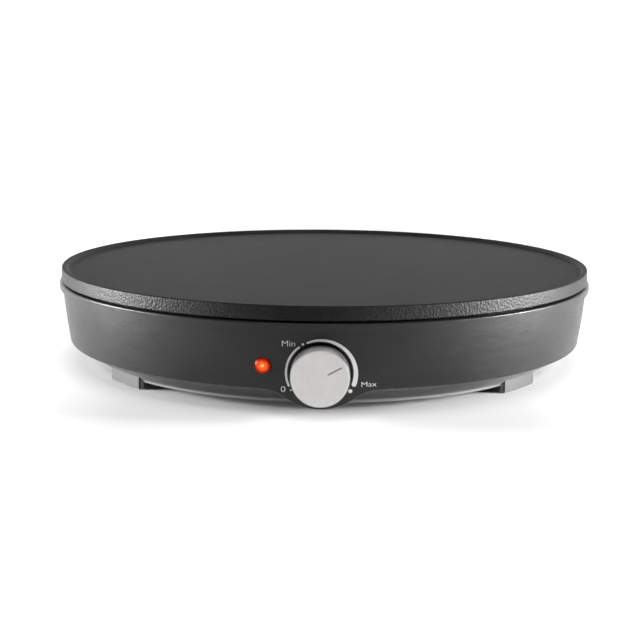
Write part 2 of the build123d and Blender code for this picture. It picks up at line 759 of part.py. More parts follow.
# ---------------------------------------------------------------- knob and thermostat
def knob_shell():
    """The knob's outer cup with a cut pointer line."""
    cup = turned(
        (0, 0, 0),
        (knob_radius, 0, knob_edge),
        (knob_radius, knob_length, 0.3),
        (knob_radius - knob_wall, knob_length, 0.3),
        (knob_radius - knob_wall, knob_face_thickness, 0.8),
        (0, knob_face_thickness, 0),
    )
    line = block((pointer_inner, pointer_outer), (-pointer_width / 2, pointer_width / 2), (-1, pointer_deep))
    cup -= Rot(0, 0, pointer_angle) * line
    return Pos(0, knob_face_y, shaft_height) * Rot(X=-90) * mirror(cup, about=Plane.XZ)


def d_section(radius, flat):
    """A round section with one flat on top."""
    return Circle(radius) - Pos(0, 2 * radius - flat) * Rectangle(2 * radius, 2 * radius)


def along_y(sketch, start_y, end_y):
    """A section on the shaft axis, extruded towards +Y."""
    plane = Plane(origin=(0, start_y, shaft_height), x_dir=(-1, 0, 0), z_dir=(0, 1, 0))
    return extrude(plane * sketch, amount=end_y - start_y)


def knob_core():
    """The knob's hub with a D bore and ribs out to the cup."""
    front_y = knob_face_y + knob_face_thickness
    core = along_y(Circle(hub_radius), front_y, hub_back_y)
    rib_back = front_y + hub_rib_height
    rib_reach = knob_radius - knob_wall - hub_rib_air
    for i in range(hub_ribs):
        rib = Rot(0, 0, 45 + i * 360 / hub_ribs) * Pos(rib_reach / 2, 0)
        core += along_y(rib * Rectangle(rib_reach, hub_rib_wall), front_y, rib_back)
    return core - along_y(d_section(shaft_radius + screw_air, shaft_flat), shaft_front_y - 0.3, hub_back_y)


def knob_spring():
    """Steel ring that squeezes the hub onto the shaft."""
    ring = Circle(hub_radius + spring_wall) - Circle(hub_radius) - Pos(0, -hub_radius) * Rectangle(2.4, 3)
    return along_y(ring, knob_back_y - 4.0, knob_back_y - 1.0)


def thermostat_shaft():
    """D shaft, turned by the knob."""
    neck_y = thermostat_face_y - neck_length
    flatted = along_y(d_section(shaft_radius, shaft_flat), shaft_front_y, neck_y)
    return flatted + along_y(Circle(shaft_radius), neck_y, shaft_back_y)


def thermostat_body():
    """Moulded switch body with a threaded neck and the diaphragm cup behind."""
    wide, _, high = thermostat_size
    face_y, back_y = thermostat_face_y, thermostat_back_y
    body = along_y(RectangleRounded(wide, high, 2), face_y, back_y)
    body += along_y(Circle(neck_radius), face_y - neck_length, face_y)
    body += along_y(Circle(thermostat_cup_radius), back_y, back_y + thermostat_cup_depth)
    body -= along_y(Circle(shaft_radius + running_air), face_y - neck_length, shaft_back_y + 0.3)
    for x in (-body_screw_x, body_screw_x):
        body -= front_rod(x, face_y, face_y + m3_screw[1] + 0.5, m3_screw[0] + screw_air)
    return body


def thermostat_bracket():
    """Steel plate between the housing's bosses and the thermostat."""
    wide, _, high = bracket_size
    outline = RectangleRounded(wide, high, 3) - Circle(neck_radius + 0.2)
    for x in (-bracket_boss_x, -body_screw_x, body_screw_x, bracket_boss_x):
        outline -= Pos(x, 0) * Circle(m3_screw[0] + hole_air)
    return along_y(outline, bracket_front_y, thermostat_face_y)


def thermostat_screws():
    """Two screws into the housing's bosses and two into the thermostat."""
    outer = [
        Pos(x, thermostat_face_y, shaft_height) * Rot(X=90) * screw(m3_screw)
        for x in (-bracket_boss_x, bracket_boss_x)
    ]
    inner = [
        Pos(x, bracket_front_y, shaft_height) * Rot(X=-90) * screw(m3_screw)
        for x in (-body_screw_x, body_screw_x)
    ]
    return Part() + outer + inner


def thermostat_terminals():
    """Two upright tabs on the back of the thermostat."""
    return Part() + [
        block(
            (x - tab_thickness / 2, x + tab_thickness / 2),
            (thermostat_back_y, tab_end_y),
            (tab_height - tab_width / 2, tab_height + tab_width / 2),
        )
        for x in (-tab_x, tab_x)
    ]


def thermostat_bulb():
    """Sensing bulb under the plate."""
    return rod((bulb_start_x, bulb_y, bulb_height), (bulb_end_x, bulb_y, bulb_height), bulb_radius)


def capillary_tube():
    """Thin tube from the thermostat's cup to the bulb."""
    cup_y = thermostat_back_y + thermostat_cup_depth
    route = [
        (5, cup_y, shaft_height + 3.5),
        (5, cup_y + 12, shaft_height + 3.5),
        (20, -80, 29),
        (42, -58, reflector_top - 7.5),
        (53, -44, reflector_top - 1.5),
        (52, bulb_y, bulb_height),
        (bulb_end_x, bulb_y, bulb_height),
    ]
    return lead("capillary_tube", route, capillary_radius)


# ---------------------------------------------------------------- indicator lamp
def lamp_lens():
    """Domed lens with a hollow barrel through the wall."""
    seat = lamp_seat_radius
    lens = turned(
        (0, seat + lens_rise, 0),
        (lens_radius - 1.6, seat + lens_rise - 0.15, 1.5),
        (lens_radius, seat + 0.7, 0.5),
        (lens_radius, seat, 0),
        (barrel_radius, seat, 0),
        (barrel_radius, barrel_back, 0),
        (barrel_bore, barrel_back, 0),
        (barrel_bore, seat - 0.5, 0.5),
        (0, seat - 0.5, 0),
    )
    return at_lamp() * lens


def at_lamp():
    """Carries a shape built along +Z at the origin to the lamp's axis, +Z outwards."""
    return Pos(0, 0, lamp_height) * Rot(0, 0, lamp_turn) * Rot(X=90)


def lamp_glass():
    """Neon bulb inside the barrel, with its two pins."""
    low = barrel_back + 0.5
    bulb = turned(
        (0, low, 0),
        (lamp_glass_radius, low, 0.3),
        (lamp_glass_radius, low + lamp_glass_length, 1.2),
        (0, low + lamp_glass_length, 0),
    )
    for side in (-1, 1):
        bulb += rod((0, side * 1.2, low - 1.5), (0, side * 1.2, low + 1), 0.3)
    return at_lamp() * bulb


def lamp_ring():
    """Push-on ring that holds the lens from inside."""
    ring = Cylinder(lamp_ring_radius, lamp_ring_sheet) - Cylinder(barrel_radius, lamp_ring_sheet)
    for i in range(6):
        ring -= Rot(0, 0, i * 60) * block((barrel_radius + 0.4, barrel_radius + 1.4), (-0.4, 0.4), (-1, 1))
    return at_lamp() * Pos(0, 0, lamp_ring_at - lamp_ring_sheet / 2) * ring


# ---------------------------------------------------------------- supply side
def cord_gland():
    """Nylon bushing through the back wall."""
    flange_y = gland_seat_y + gland_flange
    bush = turned(
        (gland_bore, gland_back_y, 0.4),
        (gland_thread_radius, gland_back_y, 0.4),
        (gland_thread_radius, gland_seat_y, 0),
        (gland_flange_radius, gland_seat_y, 0),
        (gland_flange_radius, flange_y, 0.8),
        (gland_nose_radius, flange_y, 0.8),
        (gland_tip_radius, gland_tip_y, 1.0),
        (gland_bore, gland_tip_y, 0.4),
    )
    return Pos(0, 0, gland_height) * Rot(X=-90) * bush


def gland_nut():
    """Hexagon nut behind the wall."""
    nut = extrude(
        RegularPolygon(gland_nut_flats / 2, 6, major_radius=False) - Circle(gland_thread_radius + screw_air),
        amount=gland_nut_height,
    )
    return Pos(0, gland_pad_y, gland_height) * Rot(X=90) * nut


def pole_x():
    """The x of each pole of the terminal block."""
    return (-block_pole_pitch, 0.0, block_pole_pitch)


def pole_rod(x, start_y, end_y, radius):
    """A round bar along one of the block's poles."""
    return rod((x, start_y, block_pole_height), (x, end_y, block_pole_height), radius)


def block_screw_y():
    """The y of the two grub screws of a pole."""
    return (block_y - 4, block_y + 4)


def terminal_block():
    """Three-pole block on the tray, with a hump over each pole."""
    wide, deep, high = block_size
    low_y, high_y = block_y - deep / 2, block_y + deep / 2
    top = block_foot + high
    body = block((-wide / 2, wide / 2), (low_y, high_y), (block_foot, top - 3))
    for x in pole_x():
        hump = block((x - 4.2, x + 4.2), (low_y + 1.5, high_y - 1.5), (top - 4, top))
        body += fillet(hump.edges().filter_by(Axis.Y).group_by(Axis.Z)[-1], 2)
    for x in pole_x():
        body -= pole_rod(x, low_y, high_y, block_pole_radius + screw_air)
        for y in block_screw_y():
            body -= rod((x, y, block_pole_height), (x, y, top), 1.7)
    body -= rod((block_screw_x, block_y, 0), (block_screw_x, block_y, top), block_bolt[0] + hole_air)
    return body


def terminal_barrels():
    """Brass barrels of the block, one for each pole."""
    low_y, high_y = block_y - block_size[1] / 2 + 1, block_y + block_size[1] / 2 - 1
    barrels = []
    for x in pole_x():
        barrel = pole_rod(x, low_y, high_y, block_pole_radius)
        barrel -= pole_rod(x, low_y, high_y, block_pole_bore)
        for y in block_screw_y():
            barrel -= rod((x, y, block_pole_height), (x, y, block_pole_height + 4), 1.55)
        barrels.append(barrel)
    return Part() + barrels


def terminal_screws():
    """Grub screws over the barrels."""
    top = block_foot + block_size[2] - 1
    screws = []
    for x in pole_x():
        for y in block_screw_y():
            grub = rod((x, y, block_pole_height + lead_radius + 0.2), (x, y, top), 1.5)
            screws.append(grub - block((x - 1.5, x + 1.5), (y - 0.25, y + 0.25), (top - 0.8, top)))
    return Part() + screws


def block_screw():
    """Screw down through the block into the tray's post."""
    return Pos(block_screw_x, block_y, block_foot + block_size[2] - 3) * Rot(X=180) * screw(block_bolt)


def thermal_fuse():
    """One-shot fuse in line with the left element leg, with its axial leads."""
    start, end = fuse_y
    x, z = -element_leg_x, fuse_height
    body = rod((x, start, z), (x, end, z), fuse_radius)
    body = fillet(body.edges().filter_by(GeomType.CIRCLE), 0.6)
    front_tail = rod((x, fuse_end_y, z), (x, start, z), fuse_lead)
    return body + front_tail + rod((x, end, z), (x, end + fuse_tail - 0.5, z), fuse_lead)


def fuse_sleeve():
    """Glass-fibre sleeve over the fuse."""
    start, end = fuse_sleeve_y
    at = (-element_leg_x, fuse_height)
    outer = rod((at[0], start, at[1]), (at[0], end, at[1]), fuse_sleeve_radius)
    return outer - rod((at[0], start, at[1]), (at[0], end, at[1]), fuse_sleeve_bore)


def earth_lug():
    """Ring tongue under the plate's earth boss, reaching forward to its lead."""
    x, y, _ = earth_point
    top = element_under
    low = top - earth_tongue
    tongue = rod((x, y, low), (x, y, top), 3.6) + block((x - 1.6, x + 1.6), (y - 12, y), (low, top))
    return tongue - rod((x, y, low), (x, y, top), m3_screw[0] + hole_air)


def earth_screw():
    """Screw through the earth lug."""
    x, y, _ = earth_point
    return Pos(x, y, element_under - earth_tongue) * screw(m3_screw)


# ---------------------------------------------------------------- wiring
def lead_routes():
    """Each lead's route and radius."""
    pole_y = block_y - block_size[1] / 2 + 3
    out_y = pole_y - 16
    left, middle, right = pole_x()
    height = block_pole_height
    lamp_back = barrel_back - 1
    tab_side = (-tab_x - tab_thickness / 2, tab_end_y - 3.5, tab_height + 1)
    return {
        "lead_live": (
            [
                (left, pole_y, height),
                (left, out_y, height),
                (-20, 52, 9.5),
                (-27, 0, 8),
                (-20, -52, 8.5),
                (-tab_x, tab_end_y + 16, tab_height),
                (-tab_x, tab_end_y, tab_height),
            ],
            lead_radius,
        ),
        "lead_neutral": (
            [
                (middle, pole_y, height),
                (middle, out_y, height),
                (7, 70, 13),
                (element_leg_x, terminal_tab_y, 22),
                (element_leg_x, terminal_tab_y, element_height - tab_length),
            ],
            lead_radius,
        ),
        "lead_earth": (
            [
                (right, pole_y, height),
                (right, out_y, height),
                (24, 70, 13),
                (earth_point[0], earth_point[1] - 10, 22),
                (earth_point[0], earth_point[1] - 10, element_under - earth_tongue),
            ],
            lead_radius,
        ),
        "lead_heater": (
            [
                (-element_leg_x, fuse_end_y, fuse_height),
                (-element_leg_x, fuse_end_y - 6, fuse_height),
                (-element_leg_x, 12, fuse_height - 1.4),
                (-element_leg_x, 4, reflector_top - 3.5),
                (-8, -12, 22),
                (0, -45, 13),
                (tab_x, tab_end_y + 18, tab_height),
                (tab_x, tab_end_y, tab_height),
            ],
            lead_radius,
        ),
        "lead_lamp_live": (
            [
                from_front(lamp_back, lamp_turn, lamp_height - 1.2),
                from_front(lamp_back - 9, lamp_turn, lamp_height - 1.2),
                (-23, -112, 20),
                (tab_side[0] - 8, tab_side[1], tab_side[2]),
                tab_side,
            ],
            lamp_lead_radius,
        ),
        "lead_lamp_neutral": (
            [
                from_front(lamp_back, lamp_turn, lamp_height + 1.2),
                from_front(lamp_back - 9, lamp_turn, lamp_height + 1.2),
                (-28, -102, 25),
                (0, -80, 24),
                (21, -42, 17),
                (24, 0, 15),
                (17, 34, 21),
                (element_leg_x + 1, 49, element_height - 10.4),
                (element_leg_x, terminal_tab_y - 1.2, element_height - 4.4),
            ],
            lamp_lead_radius,
        ),
    }


# ---------------------------------------------------------------- build
def all_nodes():
    """Every node's name and shape."""
    places = clip_places()
    nodes = {
        "griddle_plate": griddle_plate(),
        "heating_element": heating_element(),
        "element_seals": element_seals(),
        "element_terminals": element_terminals(),
        "element_clips": Part() + clips(places[:3], clip_inset + 9, clip_width),
        "bulb_clip": Part() + clips(places[3:4], 13, 8),
        "fuse_clip": Part() + clips(places[4:5], 13, 8),
        "clip_screws": clip_screws(),
        "heat_reflector": heat_reflector(),
        "reflector_screws": reflector_screws(),
        "plate_washers": plate_washers(),
        "plate_screws": plate_screws(),
        "housing": housing(),
        "base_tray": base_tray(),
        "tray_screws": tray_screws(),
        "knob_shell": knob_shell(),
        "knob_core": knob_core(),
        "knob_spring": knob_spring(),
        "thermostat_shaft": thermostat_shaft(),
        "thermostat_body": thermostat_body(),
        "thermostat_bracket": thermostat_bracket(),
        "thermostat_screws": thermostat_screws(),
        "thermostat_terminals": thermostat_terminals(),
        "thermostat_bulb": thermostat_bulb(),
        "capillary_tube": capillary_tube(),
        "lamp_lens": lamp_lens(),
        "lamp_glass": lamp_glass(),
        "lamp_ring": lamp_ring(),
        "cord_gland": cord_gland(),
        "gland_nut": gland_nut(),
        "terminal_block": terminal_block(),
        "terminal_barrels": terminal_barrels(),
        "terminal_screws": terminal_screws(),
        "block_screw": block_screw(),
        "thermal_fuse": thermal_fuse(),
        "fuse_sleeve": fuse_sleeve(),
        "earth_lug": earth_lug(),
        "earth_screw": earth_screw(),
    }
    corners = ("front_left", "front_right", "back_right", "back_left")
    for corner, angle in zip(corners, foot_angles):
        nodes[f"foot_pad_{corner}"] = foot_pad(angle)
    for name, (route, radius) in lead_routes().items():
        nodes[name] = lead(name, route, radius)
    return nodes


os.makedirs("parts", exist_ok=True)
for node_name, shape in all_nodes().items():
    export_step(shape, f"parts/{node_name}.step")
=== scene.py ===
import logging
import math
from dataclasses import dataclass, field
from enum import Enum
from typing import Any, Iterable, Sequence

import bmesh
import bpy
from mathutils import Matrix, Vector


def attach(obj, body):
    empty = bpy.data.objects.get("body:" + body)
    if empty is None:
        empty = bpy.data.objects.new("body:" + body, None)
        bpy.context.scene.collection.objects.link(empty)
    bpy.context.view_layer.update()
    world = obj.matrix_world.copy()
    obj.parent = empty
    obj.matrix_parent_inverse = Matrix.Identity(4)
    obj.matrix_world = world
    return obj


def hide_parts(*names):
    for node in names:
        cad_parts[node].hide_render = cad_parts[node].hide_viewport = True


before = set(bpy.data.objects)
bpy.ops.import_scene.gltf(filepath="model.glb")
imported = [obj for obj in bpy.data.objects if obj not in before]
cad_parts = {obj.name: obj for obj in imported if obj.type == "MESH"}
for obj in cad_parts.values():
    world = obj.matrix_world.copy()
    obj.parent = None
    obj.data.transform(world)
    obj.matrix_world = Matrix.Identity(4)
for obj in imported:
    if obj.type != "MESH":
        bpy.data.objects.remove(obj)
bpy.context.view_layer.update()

log = logging.getLogger("crepe_maker")

MM = 0.001
WAVE = 0.314  # period of a wave texture at scale 1
Colour = tuple[float, float, float]
Pattern = tuple[float, float, float]  # a noise's size in millimetres, its detail and its roughness
Range = tuple[float, float]
Socket = bpy.types.NodeSocket
Value = float | Sequence[float] | Socket


class Body(Enum):
    """The CAD bodies that pieces ride on."""

    COOKER = "cooker"
    KNOB = "knob"


# ------------------------------------------------------------------ node graphs
class Graph:
    """Thin builder over a node tree, shared by finishes and geometry."""

    def __init__(self, tree: bpy.types.NodeTree) -> None:
        """Keeps the tree that nodes are added to."""
        self.tree = tree

    def node(self, kind: str, inputs: dict[Any, Value] | None = None, **settings: Any) -> bpy.types.Node:
        """Adds one node.

        Args:
            kind: The node's class name.
            inputs: Values or sockets by input name or index.
            settings: Attributes of the node itself.

        Returns:
            The new node.
        """
        made = self.tree.nodes.new(kind)
        for name, value in settings.items():
            setattr(made, name, value)
        for key, value in (inputs or {}).items():
            self.feed(made.inputs[key], value)
        return made

    def feed(self, socket: Socket, value: Value) -> None:
        """Links a socket to another, or sets its value.

        Args:
            socket: The input.
            value: A socket or a plain value.
        """
        if isinstance(value, bpy.types.NodeSocket):
            self.tree.links.new(value, socket)
        else:
            socket.default_value = value

    def calc(self, how: str, first: Value, second: Value = 0.0) -> Socket:
        """One arithmetic step."""
        return self.node("ShaderNodeMath", {0: first, 1: second}, operation=how).outputs[0]

    def plus(self, first: Value, second: Value) -> Socket:
        """Adds two values."""
        return self.calc("ADD", first, second)

    def times(self, first: Value, second: Value) -> Socket:
        """Multiplies two values."""
        return self.calc("MULTIPLY", first, second)

    def vector(self, how: str, first: Value, second: Value = (0.0, 0.0, 0.0)) -> Socket:
        """One step of vector arithmetic."""
        return self.node("ShaderNodeVectorMath", {0: first, 1: second}, operation=how).outputs[0]


class Surface(Graph):
    """Node graph of one material round a principled shader, in Object coordinates."""

    def __init__(self, name: str) -> None:
        """Makes an empty material with its shader and output.

        Args:
            name: The material's name.
        """
        self.material = bpy.data.materials.new(name)
        self.material.use_nodes = True
        super().__init__(self.material.node_tree)
        self.tree.nodes.clear()
        self.shader = self.node("ShaderNodeBsdfPrincipled")
        self.node("ShaderNodeOutputMaterial", {"Surface": self.shader.outputs[0]})
        self.place = self.node("ShaderNodeTexCoord").outputs["Object"]

    def set(self, **values: Value) -> None:
        """Sets the shader's inputs, named with underscores for spaces."""
        for name, value in values.items():
            self.feed(self.shader.inputs[name.replace("_", " ")], value)

    def moved(self, location: Sequence[float] = (0, 0, 0), turn: Sequence[float] = (0, 0, 0),
              stretch: Sequence[float] = (1, 1, 1)) -> Socket:
        """Object coordinates taken to a pattern's own frame.

        Args:
            location: The pattern's origin in metres.
            turn: The pattern's turn in degrees.
            stretch: Size of the pattern along each of its axes.

        Returns:
            The coordinates' socket.
        """
        angles = [math.radians(a) for a in turn]
        inputs = {"Vector": self.place, "Location": location, "Rotation": angles, "Scale": stretch}
        return self.node("ShaderNodeMapping", inputs, vector_type="TEXTURE").outputs[0]

    def noise(self, size: float, detail: float = 3.0, rough: float = 0.5, at: Socket | None = None,
              warp: float = 0.0) -> Socket:
        """Cloudy noise with features about the given size in millimetres.

        Args:
            size: Size of the features in millimetres.
            detail: Octaves of finer noise.
            rough: How strong the finer noise is.
            at: Coordinates, or None for the object's own.
            warp: How far the pattern is distorted.

        Returns:
            The noise, about 0 to 1.
        """
        inputs = {"Vector": at or self.place, "Scale": 1 / (size * MM), "Detail": detail,
                  "Roughness": rough, "Distortion": warp}
        return self.node("ShaderNodeTexNoise", inputs).outputs["Fac"]

    def cells(self, size: float, smooth: float = 0.5, at: Socket | None = None) -> Socket:
        """Rounded cells about the given size in millimetres."""
        inputs = {"Vector": at or self.place, "Scale": 1 / (size * MM), "Smoothness": smooth}
        return self.node("ShaderNodeTexVoronoi", inputs, feature="SMOOTH_F1").outputs["Distance"]

    def rings(self, pitch: float, at: Socket | None = None, warp: float = 0.0) -> Socket:
        """Turning marks about the pattern's Z axis, with a pitch in millimetres.

        Args:
            pitch: Distance between two marks in millimetres.
            at: Coordinates, or None for the object's own.
            warp: How far the marks are distorted.

        Returns:
            The wave, 0 to 1.
        """
        inputs = {"Vector": at or self.place, "Scale": WAVE / (pitch * MM), "Distortion": warp,
                  "Detail": 1.0, "Detail Scale": 0.6}
        settings = {"wave_type": "RINGS", "rings_direction": "Z"}
        return self.node("ShaderNodeTexWave", inputs, **settings).outputs["Fac"]

    def bands(self, pitch: float, at: Socket, warp: float = 0.0) -> Socket:
        """Bands across the pattern's X axis, with a pitch in millimetres."""
        inputs = {"Vector": at, "Scale": WAVE / (pitch * MM), "Distortion": warp}
        return self.node("ShaderNodeTexWave", inputs, wave_type="BANDS").outputs["Fac"]

    def span(self, factor: Value, low: float, high: float, start: float = 0.0, end: float = 1.0,
             soft: bool = False) -> Socket:
        """Maps a value from one range to another, clamped.

        Args:
            factor: The value.
            low: Result at the start.
            high: Result at the end.
            start: The value's low end.
            end: The value's high end.
            soft: Eases in and out.

        Returns:
            The mapped value's socket.
        """
        kind = "SMOOTHSTEP" if soft else "LINEAR"
        ranges = {"Value": factor, "From Min": start, "From Max": end, "To Min": low, "To Max": high}
        return self.node("ShaderNodeMapRange", ranges, interpolation_type=kind).outputs[0]

    def ramp(self, factor: Value, start: float, end: float, soft: bool = False) -> Socket:
        """Rises from 0 at the start to 1 at the end."""
        return self.span(factor, 0.0, 1.0, start, end, soft)

    def fade(self, factor: Value, start: float, end: float, soft: bool = False) -> Socket:
        """Falls from 1 at the start to 0 at the end."""
        return self.span(factor, 1.0, 0.0, start, end, soft)

    def mix(self, factor: Value, first: Any, second: Any) -> Socket:
        """Blends two colours, given as triples or sockets.

        Args:
            factor: Share of the second colour.
            first: Colour at 0.
            second: Colour at 1.

        Returns:
            The blended colour's socket.
        """
        made = self.node("ShaderNodeMix", data_type="RGBA")
        self.feed(made.inputs[0], factor)
        for socket, value in ((made.inputs[6], first), (made.inputs[7], second)):  # its colour inputs
            self.feed(socket, value if isinstance(value, bpy.types.NodeSocket) else (*value, 1.0))
        return made.outputs[2]

    def part(self, axis: str, at: Socket | None = None) -> Socket:
        """One coordinate of a place."""
        return self.node("ShaderNodeSeparateXYZ", {0: at or self.place}).outputs[axis]

    def reach(self, centre: Sequence[float], at: Socket | None = None) -> Socket:
        """Distance from a point in metres."""
        inputs = {0: at or self.place, 1: centre}
        return self.node("ShaderNodeVectorMath", inputs, operation="DISTANCE").outputs["Value"]

    def height(self) -> Socket:
        """Height over the floor in millimetres."""
        return self.times(self.part("Z"), 1 / MM)

    def plan(self) -> Socket:
        """The place seen from above, as a vector from the cooker's axis."""
        return self.vector("MULTIPLY", self.place, (1.0, 1.0, 0.0))

    def radius(self) -> Socket:
        """Distance from the cooker's axis in millimetres."""
        return self.times(self.reach((0.0, 0.0, 0.0), self.plan()), 1 / MM)

    def aside(self) -> Socket:
        """Distance from the cooker's middle plane in metres, to either side."""
        return self.calc("ABSOLUTE", self.part("X"))

    def facing_up(self) -> Socket:
        """How far the surface faces up, 1 on top and 0 on a wall."""
        return self.part("Z", self.shape())

    def leaning(self, axis: str) -> Socket:
        """How far the surface faces along an axis, either way."""
        return self.calc("ABSOLUTE", self.part(axis, self.shape()))

    def shape(self) -> Socket:
        """The surface's own smooth normal."""
        return self.node("ShaderNodeNewGeometry").outputs["Normal"]

    def edges(self, width: float) -> Socket:
        """How near a sharp edge the point is, from a bevelled normal.

        Args:
            width: The bevel's radius in millimetres.

        Returns:
            1 on an edge and 0 away from it.
        """
        rounded = self.node("ShaderNodeBevel", {"Radius": width * MM}, samples=4).outputs[0]
        inputs = {0: rounded, 1: self.shape()}
        same = self.node("ShaderNodeVectorMath", inputs, operation="DOT_PRODUCT").outputs["Value"]
        return self.fade(same, 0.7, 0.99)

    def relief(self, *layers: tuple[Socket, float], start: Socket | None = None) -> None:
        """Bump from layers of height, each with its depth in millimetres, on a starting normal.

        Args:
            layers: Height and depth of each layer.
            start: The normal below them, or None for the surface's own.
        """
        normal = start
        for height, depth in layers:
            inputs = {"Height": height, "Distance": depth * MM, "Strength": 1.0}
            if normal is not None:
                inputs["Normal"] = normal
            normal = self.node("ShaderNodeBump", inputs).outputs[0]
        self.set(Normal=normal)


# ------------------------------------------------------------------ finishes
def tint(colour: Colour, scale: float, lift: float = 0.0) -> Colour:
    """A colour scaled and lifted, at most white."""
    return tuple(min(1.0, scale * c + lift) for c in colour)


@dataclass(frozen=True)
class Finish:
    """A finish that goes on a surface, made once and shared."""

    name: str

    def material(self) -> bpy.types.Material:
        """The finish's material, made on first use.

        Returns:
            The material, the same one at every call.
        """
        made = bpy.data.materials.get(f"finish_{self.name}")
        if made is None:
            surface = Surface(f"finish_{self.name}")
            self.paint(surface)
            made = surface.material
        return made

    def paint(self, surface: Surface) -> None:
        """Wires the finish into the surface's graph."""
        raise NotImplementedError


@dataclass(frozen=True)
class CoatedCasting(Finish):
    """Cast aluminium with a black non-stick coat: smooth on top, pebbled down the side."""

    base: Colour = (0.007, 0.007, 0.0073)
    fleck: Colour = (0.03, 0.03, 0.032)
    rubbed: Colour = (0.08, 0.08, 0.085)
    seasoned: float = 1.9  # how much paler the coat is in its clouds
    clouds: Pattern = (28.0, 4.0, 0.6)
    flecks: Pattern = (0.55, 2.0, 0.7)
    grit: Pattern = (0.8, 3.0, 0.6)
    pebble: float = 1.15
    peel: float = 0.9
    turning: float = 0.7  # pitch of the turning marks
    edge: float = 0.5
    worn: float = 0.35  # how strongly its edges are rubbed
    depths: tuple[float, float, float] = (0.16, 0.02, 0.004)  # of the pebbles, the peel and the marks
    rough_side: Range = (0.36, 0.52)
    rough_top: Range = (0.5, 0.62)
    gloss: Range = (0.165, 0.07)  # down the side and on top

    def paint(self, surface: Surface) -> None:
        """Flecked coat whose grain depends on which way the casting faces.

        Args:
            surface: The material's graph.
        """
        top = surface.ramp(surface.facing_up(), 0.35, 0.9, soft=True)
        cloud = surface.noise(*self.clouds)
        flecks = surface.ramp(surface.noise(*self.flecks), 0.62, 0.72)
        seasoned = surface.mix(surface.ramp(cloud, 0.35, 0.7), self.base, tint(self.base, self.seasoned))
        worn = surface.span(surface.edges(self.edge), 0.0, self.worn)
        coat = surface.mix(flecks, seasoned, self.fleck)
        surface.set(Base_Color=surface.mix(worn, coat, self.rubbed))
        streaks = surface.rings(self.turning, warp=0.2)
        glaze = surface.plus(surface.span(cloud, *self.rough_top), surface.times(streaks, 0.03))
        side = surface.span(surface.noise(2.0, 3.0), *self.rough_side)
        rough = surface.node("ShaderNodeMix", {0: top, 2: side, 3: glaze}, data_type="FLOAT").outputs[0]
        surface.set(Roughness=rough, Specular_IOR_Level=surface.span(top, *self.gloss))
        rugged = surface.plus(surface.cells(self.pebble), surface.noise(*self.grit))
        sides_only = surface.times(rugged, surface.fade(top, 0.0, 1.0))
        peel = surface.times(surface.noise(self.peel, 2.0), top)
        turned = surface.times(streaks, top)
        surface.relief(*zip((sides_only, peel, turned), self.depths))


@dataclass(frozen=True)
class Moulding(Finish):
    """Moulded plastic with a spark-eroded grain, faint flow clouds and lighter rubbed edges."""

    colour: Colour
    rough: float = 0.42
    grain: float = 0.35
    grain_depth: float = 0.02
    specular: float = 0.5
    rubbed: float = 0.25
    edge: float = 0.35
    flow: Pattern = (45.0, 3.0, 0.6)
    flow_depth: float = 0.06
    dust: Pattern = (0.5, 2.0, 0.8)
    dusting: tuple[float, float] = (0.35, 0.06)  # how strongly dust shows, and what it adds to the roughness
    scuffs: Pattern = (9.0, 5.0, 0.75)
    scuffed: Range = (-0.05, 0.07)  # what the scuffs do to the roughness
    paler: tuple[float, float] = (1.3, 0.004)  # tint of the flow clouds: scale and lift
    worn: tuple[float, float] = (2.4, 0.03)  # and of the rubbed edges

    def paint(self, surface: Surface) -> None:
        """Grained plastic.

        Args:
            surface: The material's graph.
        """
        flow = surface.noise(*self.flow, at=surface.moved(stretch=(1, 1, 0.4)), warp=0.4)
        dust = surface.ramp(surface.noise(*self.dust), 0.66, 0.8)
        paler = tint(self.colour, *self.paler)
        body = surface.mix(surface.ramp(flow, 0.3, 0.75), self.colour, paler)
        shown, rougher = self.dusting
        dusty = surface.mix(surface.times(dust, shown), body, tuple(c + 0.03 for c in paler))
        edge = surface.times(surface.edges(self.edge), self.rubbed)
        worn = surface.mix(edge, dusty, tint(self.colour, *self.worn))
        surface.set(Base_Color=self.tone(surface, worn, surface.edges(self.edge)))
        scuffs = surface.noise(*self.scuffs, at=surface.moved(turn=(0, 0, 20), stretch=(1, 1, 0.15)))
        rough = surface.span(scuffs, *(self.rough + change for change in self.scuffed), 0.35, 0.7)
        surface.set(Roughness=surface.plus(rough, surface.times(dust, rougher)),
                    Specular_IOR_Level=self.specular)
        grain = surface.plus(surface.cells(self.grain), surface.noise(0.6 * self.grain, 2.0, 0.6))
        surface.relief((grain, self.grain_depth), (flow, self.flow_depth), start=self.form(surface))

    def tone(self, surface: Surface, colour: Socket, edge: Socket) -> Socket:
        """The finished colour, as it is on a plain moulding."""
        return colour

    def form(self, surface: Surface) -> Socket | None:
        """The normal that the grain lies on, or None for the surface's own."""
        return None


